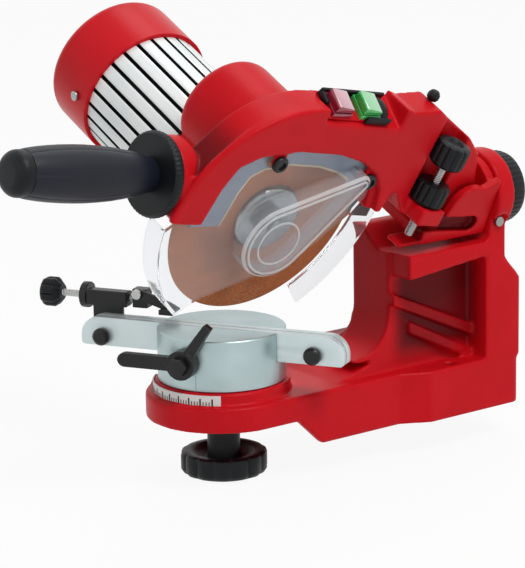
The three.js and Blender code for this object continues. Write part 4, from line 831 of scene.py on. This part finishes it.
def makeHandle():
    start, end, capEnd, bore = handle["gripStart"], handle["gripEnd"], handle["capEnd"], handle["bore"]
    flange = lathe("y", [(bore, start), (25.8, start), (27.1, -94.6), (27.5, -93), (27.5, -91.2),
                         (26.8, -89.7), (24.5, collarY), (bore, collarY)], 216, **handle["ribs"])
    finished(flange, "handle_collar", "blackPlastic", gripFrame, ["handle_flange"], sharp=38)
    grip = lathe("y", [(bore, start), (11, start), *handle["grip"], (14.9, end), (bore, end)], 144,
                 **handle["flutes"])
    finished(grip, "handle_sleeve", "gripRubber", gripFrame, ["handle_grip"], sharp=38)
    edge = [(7.6 + 7 * math.sin(a), capEnd + 7 - 7 * math.cos(a)) for a in quarterTurn(8)[1:]]
    cap = lathe("y", [(0, capEnd), (7.6, capEnd), *edge, (14.6, end), (0, end)], 96)
    finished(cap, "handle_end", "blackPlastic", gripFrame, ["grip_cap"], sharp=38)
    print("handle made")


makeHandle()

# Grinding disc with its bevelled edge
disc = {"radius": 72.5, "bore": 11.15, "half": 1.6}


def makeDisc():
    r, bore, half = disc["radius"], disc["bore"], disc["half"]
    side = [(bore, -half), (r - 1.6, -half), (r - 0.9, -half + 0.15), (r - 0.3, -half + 0.6),
            (r, -half + 1.2)]
    stone = lathe("x", mirrored(side), 200)
    finished(stone, "stone_disc", "grindingStone", headFrame, ["grinding_disc"])
    print("disc made")


makeDisc()

# Vise: turntable and the two rails
vise = {"tableRadius": 43.0, "bottom": 44.5, "top": 78.9, "railBottom": 59.5,
        "rails": [("rail_behind", "rear_rail", 0.75, 6.5), ("rail_jaw", "front_jaw", -6.5, -0.75)],
        "railHoles": [(-85, 65.9, 2.8), (68, 65.9, 2.8), (-7, 64, 3.3)]}


def makeVise():
    radius, bottom, top, low = vise["tableRadius"], vise["bottom"], vise["top"], vise["railBottom"]
    table = lathe("z", [(0, bottom), (radius - 0.6, bottom), (radius, bottom + 0.6), (radius, top - 0.8),
                        (radius - 0.8, top), (0, top)], 192)
    table = cut(table, block(-beyond, beyond, -7.6, 6.8, low - 0.3, beyond), rod("z", 5.3, 0, 56.5, 48),
                moved(rod("y", 3.3, -beyond, beyond, 32), -7, 0, 64),
                block(-0.5, 0.5, -beyond, 0.5 - radius, 0, 60.9))
    finished(edged(table, 0.35, 2, 40), "turntable_drum", "castAluminium", viseFrame, ["turntable"])
    outline = [*arc(76, top - 13, 13, 0, 90, 16), *arc(-87.5, top - 13, 13, 90, 180, 16),
               *arc(-98, low + 2.5, 2.5, 180, 270, 6), *arc(86.5, low + 2.5, 2.5, 270, 360, 6)]
    drawn = [(z, x) for x, z in outline]
    for name, node, y0, y1 in vise["rails"]:
        holes = [moved(rod("y", hole, -beyond, beyond, 32), x, 0, z) for x, z, hole in vise["railHoles"]]
        rail = edged(cut(prism("y", drawn, y0, y1), *holes), 0.5, 3, 40)
        finished(rail, name, "railAluminium", viseFrame, [node])
    print("vise made")


makeVise()

# Scale strip with its plain ticks
scale = {"low": 36.3, "high": 43.3, "radius": 45.8, "thick": 0.7, "tickStart": 225,
         "fine": {"count": 37, "step": 2.5, "half": 0.28, "length": 2.6, "rise": 0.78},
         "bold": {"count": 10, "step": 10, "half": 0.5, "length": 4.6, "rise": 0.8}}


def makeScale():
    low, high, radius = scale["low"], scale["high"], scale["radius"]
    plate = prism("z", [*arc(0, 0, radius + scale["thick"], 218, 322, 60), *arc(0, 0, radius, 322, 218, 60)],
                  low, high)
    finished(plate, "scale_strip", "whiteLabel", machineFrame, ["angle_scale"])
    ticks = []
    for tick in (scale["fine"], scale["bold"]):
        mark = block(radius + 0.68, radius + tick["rise"], -tick["half"], tick["half"], low + 0.3,
                     low + 0.3 + tick["length"])
        ticks.append(ringOf(mark, tick["count"], tick["step"], (0, 0, 1), "labelInk", scale["tickStart"]))
    finished(together(*ticks), "scale_ticks", "labelInk", machineFrame, [], body="stand")
    print("scale made")


makeScale()

# Clear guards: the near one with a raised cover over the nut, the far one behind the disc
guard = {"sheet": 2.4, "rim": 86.5, "front": 9.7, "rise": 14.0, "round": 2.2, "ring": (15.2, 16.5),
         "cover": {"big": 26.99, "small": 5.97, "tip": (50.0, 39.96), "low": -7.0},
         "far": {"inner": 95, "outer": 115, "from": -43, "to": 1, "sides": (-14.7, -12.3)},
         "plate": [(-0.358, -0.705), (0.092, -0.486), (0.358, -0.416), (0.59, -0.116), (0.763, 0.116),
                   (0.832, 0.277), (0.809, 0.405), (0.682, 0.601), (0.3, 0.763), (-0.347, 0.786),
                   (-0.659, 0.601), (-0.867, 0.231), (-0.902, -0.035)],
         "strip": [(0.8, 0.455), *head["window"][2:10], (-0.72, -0.08)],
         "bolt": [(0, 12.3), (5.6, 12.3), (5.6, 14.2), (5.2, 15.0), (4.2, 15.7), (3.0, 15.7), (2.6, 14.3),
                  (0, 14.3)]}


def teardrop(inset):
    cover = guard["cover"]
    (tipY, tipZ), low = cover["tip"], cover["low"]
    big, small, rise = cover["big"] - inset, cover["small"] - inset, tipZ - low
    heading = math.degrees(math.atan2(rise, tipY))
    spread = math.degrees(math.acos((big - small) / math.hypot(tipY, rise)))
    return [*arc(tipY, tipZ, small, heading - spread, heading + spread, 14),
            *arc(0, low, big, heading + spread, heading + 360 - spread, 48)]


def crown(inset, top):
    soft = guard["round"]
    return [(teardrop(inset + soft * (1 - math.cos(a))), top - soft + soft * math.sin(a))
            for a in quarterTurn(6)]


def makeNearGuard():
    sheet, rim, front, soft = guard["sheet"], guard["rim"], guard["front"], guard["round"]
    back, top = front - sheet, front + guard["rise"] - 0.8
    plate = prism("x", [*arc(0, 0, rim, 187, 239, 32), *sized(guard["plate"], rim, rim)], back, front)
    wall = prism("x", [*arc(0, 0, rim, 187, 239, 32), *arc(0, 0, rim - sheet, 239, 187, 32)], -7.7, front)
    cover = layered("x", [(teardrop(0), back), *crown(0, top)])
    hollow = layered("x", [(teardrop(sheet), back - 3), *crown(sheet, top - sheet)])
    ridge = [(teardrop(3.0), top - 0.5), (teardrop(3.0), top + 0.4), (teardrop(3.3), top + 0.8)]
    ridge = cut(layered("x", ridge), layered("x", [(teardrop(4.4), top - 2), (teardrop(4.4), top + 2)]))
    inside, outside = guard["ring"]
    ring = cut(rod("x", outside, top - 0.5, top + 0.5, 72), rod("x", inside, top - 3, top + 3, 72))
    near = join(plate, wall, cover, ridge, moved(ring, 0, 0, guard["cover"]["low"]))
    near = cut(near, hollow, *guardHoles(head["screwHole"], -beyond, beyond, 32))

    # The rounded rim on top of the cover takes a whiter, less clear sheet as a painted highlight, the rest of
    # the cover its own sheet
    def coatAt(place, facing):
        edge = -0.15 < facing.x < 0.97 or place.x > top + 0.05
        return 2 if edge and place.x > top - soft - 0.1 else place.x > front + 0.2

    repainted(near, ("clearGuard", "clearCover", "clearEdge"), coatAt)
    # An opaque band along the window, under the clear guard: painted reflection in the guard and painted
    # shade of the hood's inner wall
    edge = sized(guard["strip"], head["outer"], head["outer"])
    inner = [(a * (0.79 if a > 0 else 0.66), b * 0.78) for a, b in edge]
    reflectionBand = prism("x", [*sized(edge, 1.03, 1.03), *inner[::-1]], 5.2, 6.9)
    trim = prism("x", [*inner, *sized(inner, 0.965, 0.965)[::-1]], 5.0, 6.9)
    reflectionBand = painted(edged(cut(reflectionBand, *guardHoles(6.3, 0, 50, 40)), 0.3, 1, 40), "paintedReflectionBand")
    trim = painted(edged(cut(trim, *guardHoles(6.3, 0, 50, 40)), 0.2, 1, 40), "stripEdge")
    near = together(near, reflectionBand, trim)
    finished(near, "guard_near_clear", "clearGuard", headFrame, ["near_guard"], sharp=24)


def makeGuards():
    makeNearGuard()
    far = guard["far"]
    strip = prism("x", [*arc(0, 0, far["outer"], far["from"], far["to"], 40),
                        *arc(0, 0, far["inner"], far["to"], far["from"], 40)], *far["sides"])
    finished(edged(strip, 0.5, 2, 40), "guard_far_clear", "clearGuard", headFrame, ["far_guard"])
    for end, (y, z) in zip(("front", "rear"), guardScrews):
        shank = rod("x", 2.0, guard["front"] - guard["sheet"], 12.6, 32)
        bolt = moved(join(lathe("x", guard["bolt"], 64), shank), 0, y, z)
        finished(bolt, "guard_bolt_" + end, "blackSteel", headFrame, ["guard_screw_" + end])
    print("guards made")


makeGuards()

# Switch: red mounting plate, black ends and back wall, and the two buttons with their skirts
switch = {"half": 7.5, "plate": 2.0, "skirt": 5.7, "domeHalf": (10.8, 7.6), "domeRise": 8.2,
          "buttons": [("button_off", "red_button", -17.0, "stopRed", "buttonRedTop"),
                      ("button_on", "green_button", 8.0, "goGreen", "buttonGreenTop")]}


def makeSwitch():
    half = switch["half"]
    outside, inside = half + 0.9, half + 0.2
    plate = painted(edged(block(-11, 9, -28, 28, 0.3, switch["plate"])), "redEnamel")
    rise = switch["domeRise"]
    edge = [(math.cos(a), 0.35 + rise * math.sin(a)) for a in quarterTurn(12)[:-1]]
    dome = lathe("z", [(0, 0.35), *edge, (0, 0.35 + rise)], 64)
    put(dome, Matrix.Diagonal((*switch["domeHalf"], 1, 1)))
    black = [edged(block(-11, -8.9, -28, 28, 0.4, 7.3), 0.6),
             edged(block(-11, 0, -28, -25.0, 0.35, 6.3), 1.0, 3),
             edged(block(8.6, 11, 4, 25.5, 0.35, 6.2), 1.1, 4),
             moved(dome, 0.1, 20.2, 0)]
    skirts = []
    for _, _, shift, look, _ in switch["buttons"]:
        wall = edged(block(-outside, outside, shift - outside, shift + outside, 0.5, switch["skirt"]), 0.3)
        wall = cut(wall, block(-inside, inside, shift - inside, shift + inside, 2.5, 20))
        skirts.append(painted(wall, look))
    body = together(*[painted(shape, "blackPlastic") for shape in black], plate, *skirts)
    finished(body, "switch_body", "blackPlastic", panelFrame, ["switch_housing"], sharp=38)
    side = [(-half, 5.6), (half, 5.6), (half, 9.4), (half - 1.5, 10.0), (-half + 2, 11.75),
            (-half + 0.6, 11.4), (-half, 10.4)]
    for name, node, shift, look, top in switch["buttons"]:
        wedge = edged(prism("x", [(y + shift, z) for y, z in side], -half, half), 0.7, 3, 24)
        # Faces turned up take the paler colour: a painted highlight on the button's top
        repainted(wedge, (look, top), lambda place, facing: facing.z > 0.8)
        finished(wedge, name, look, panelFrame, [node], sharp=38)
    print("switch made")


makeSwitch()

# Threaded screws, and the small black castings with rounded edges
screws = {"pitch": 1.25, "stopCut": 0.32, "depthCut": 0.36}
castGrids = {"clamp_lever": 0.5, "stop_bracket": 0.5, "stop_carrier": 0.45, "stop_pawl": 0.4}


def makeScrews():
    stop = moved(thread("x", 2.5, -131, -63.7, screws["pitch"], screws["stopCut"]), *places["viseStop"])
    finished(stop, "stop_thread", "zincSteel", viseFrame, ["stop_screw"], sharp=60)
    depth = moved(thread("z", 3.0, 0, 64.5, screws["pitch"], screws["depthCut"]), *places["depthStop"])
    finished(depth, "depth_thread", "zincSteel", headFrame, ["depth_screw"], sharp=60)
    for node, grid in castGrids.items():
        cast = moulded(nodeShape(node), grid, 3, 0.6)
        finished(cast, node + "_cast", "blackSteel", toMetres, [node], sharp=50)
    print("screws made")


makeScrews()

# Pieces that keep the CAD's shape, with their edges rounded
plainLooks = {
    "tilt_stop_screw": "zincSteel", "lock_washer": "zincSteel", "lock_bolt": "zincSteel",
    "guide_screw_left": "blackSteel", "guide_screw_right": "blackSteel", "clamp_stud": "blackSteel",
    "pawl_pin": "zincSteel", "hinge_pin": "zincSteel", "tilt_bolt": "zincSteel", "stator": "winding",
    "cap_screw": "zincSteel", "front_bearing": "zincSteel", "rear_bearing": "zincSteel",
    "spindle": "zincSteel", "rotor": "zincSteel", "cooling_fan": "blackPlastic", "inner_flange": "zincSteel",
    "outer_flange": "zincSteel", "disc_nut": "zincSteel", "handle_stud": "zincSteel",
    "guard_clip": "blackSteel", "arm_plug": "blackPlastic", "cable_gland": "blackPlastic",
}


def dressTheRest():
    for node, look in plainLooks.items():
        finished(edged(nodeShape(node)), node + "_dressed", look, toMetres, [node], sharp=40)
    print("plain pieces dressed:", len(plainLooks))


dressTheRest()
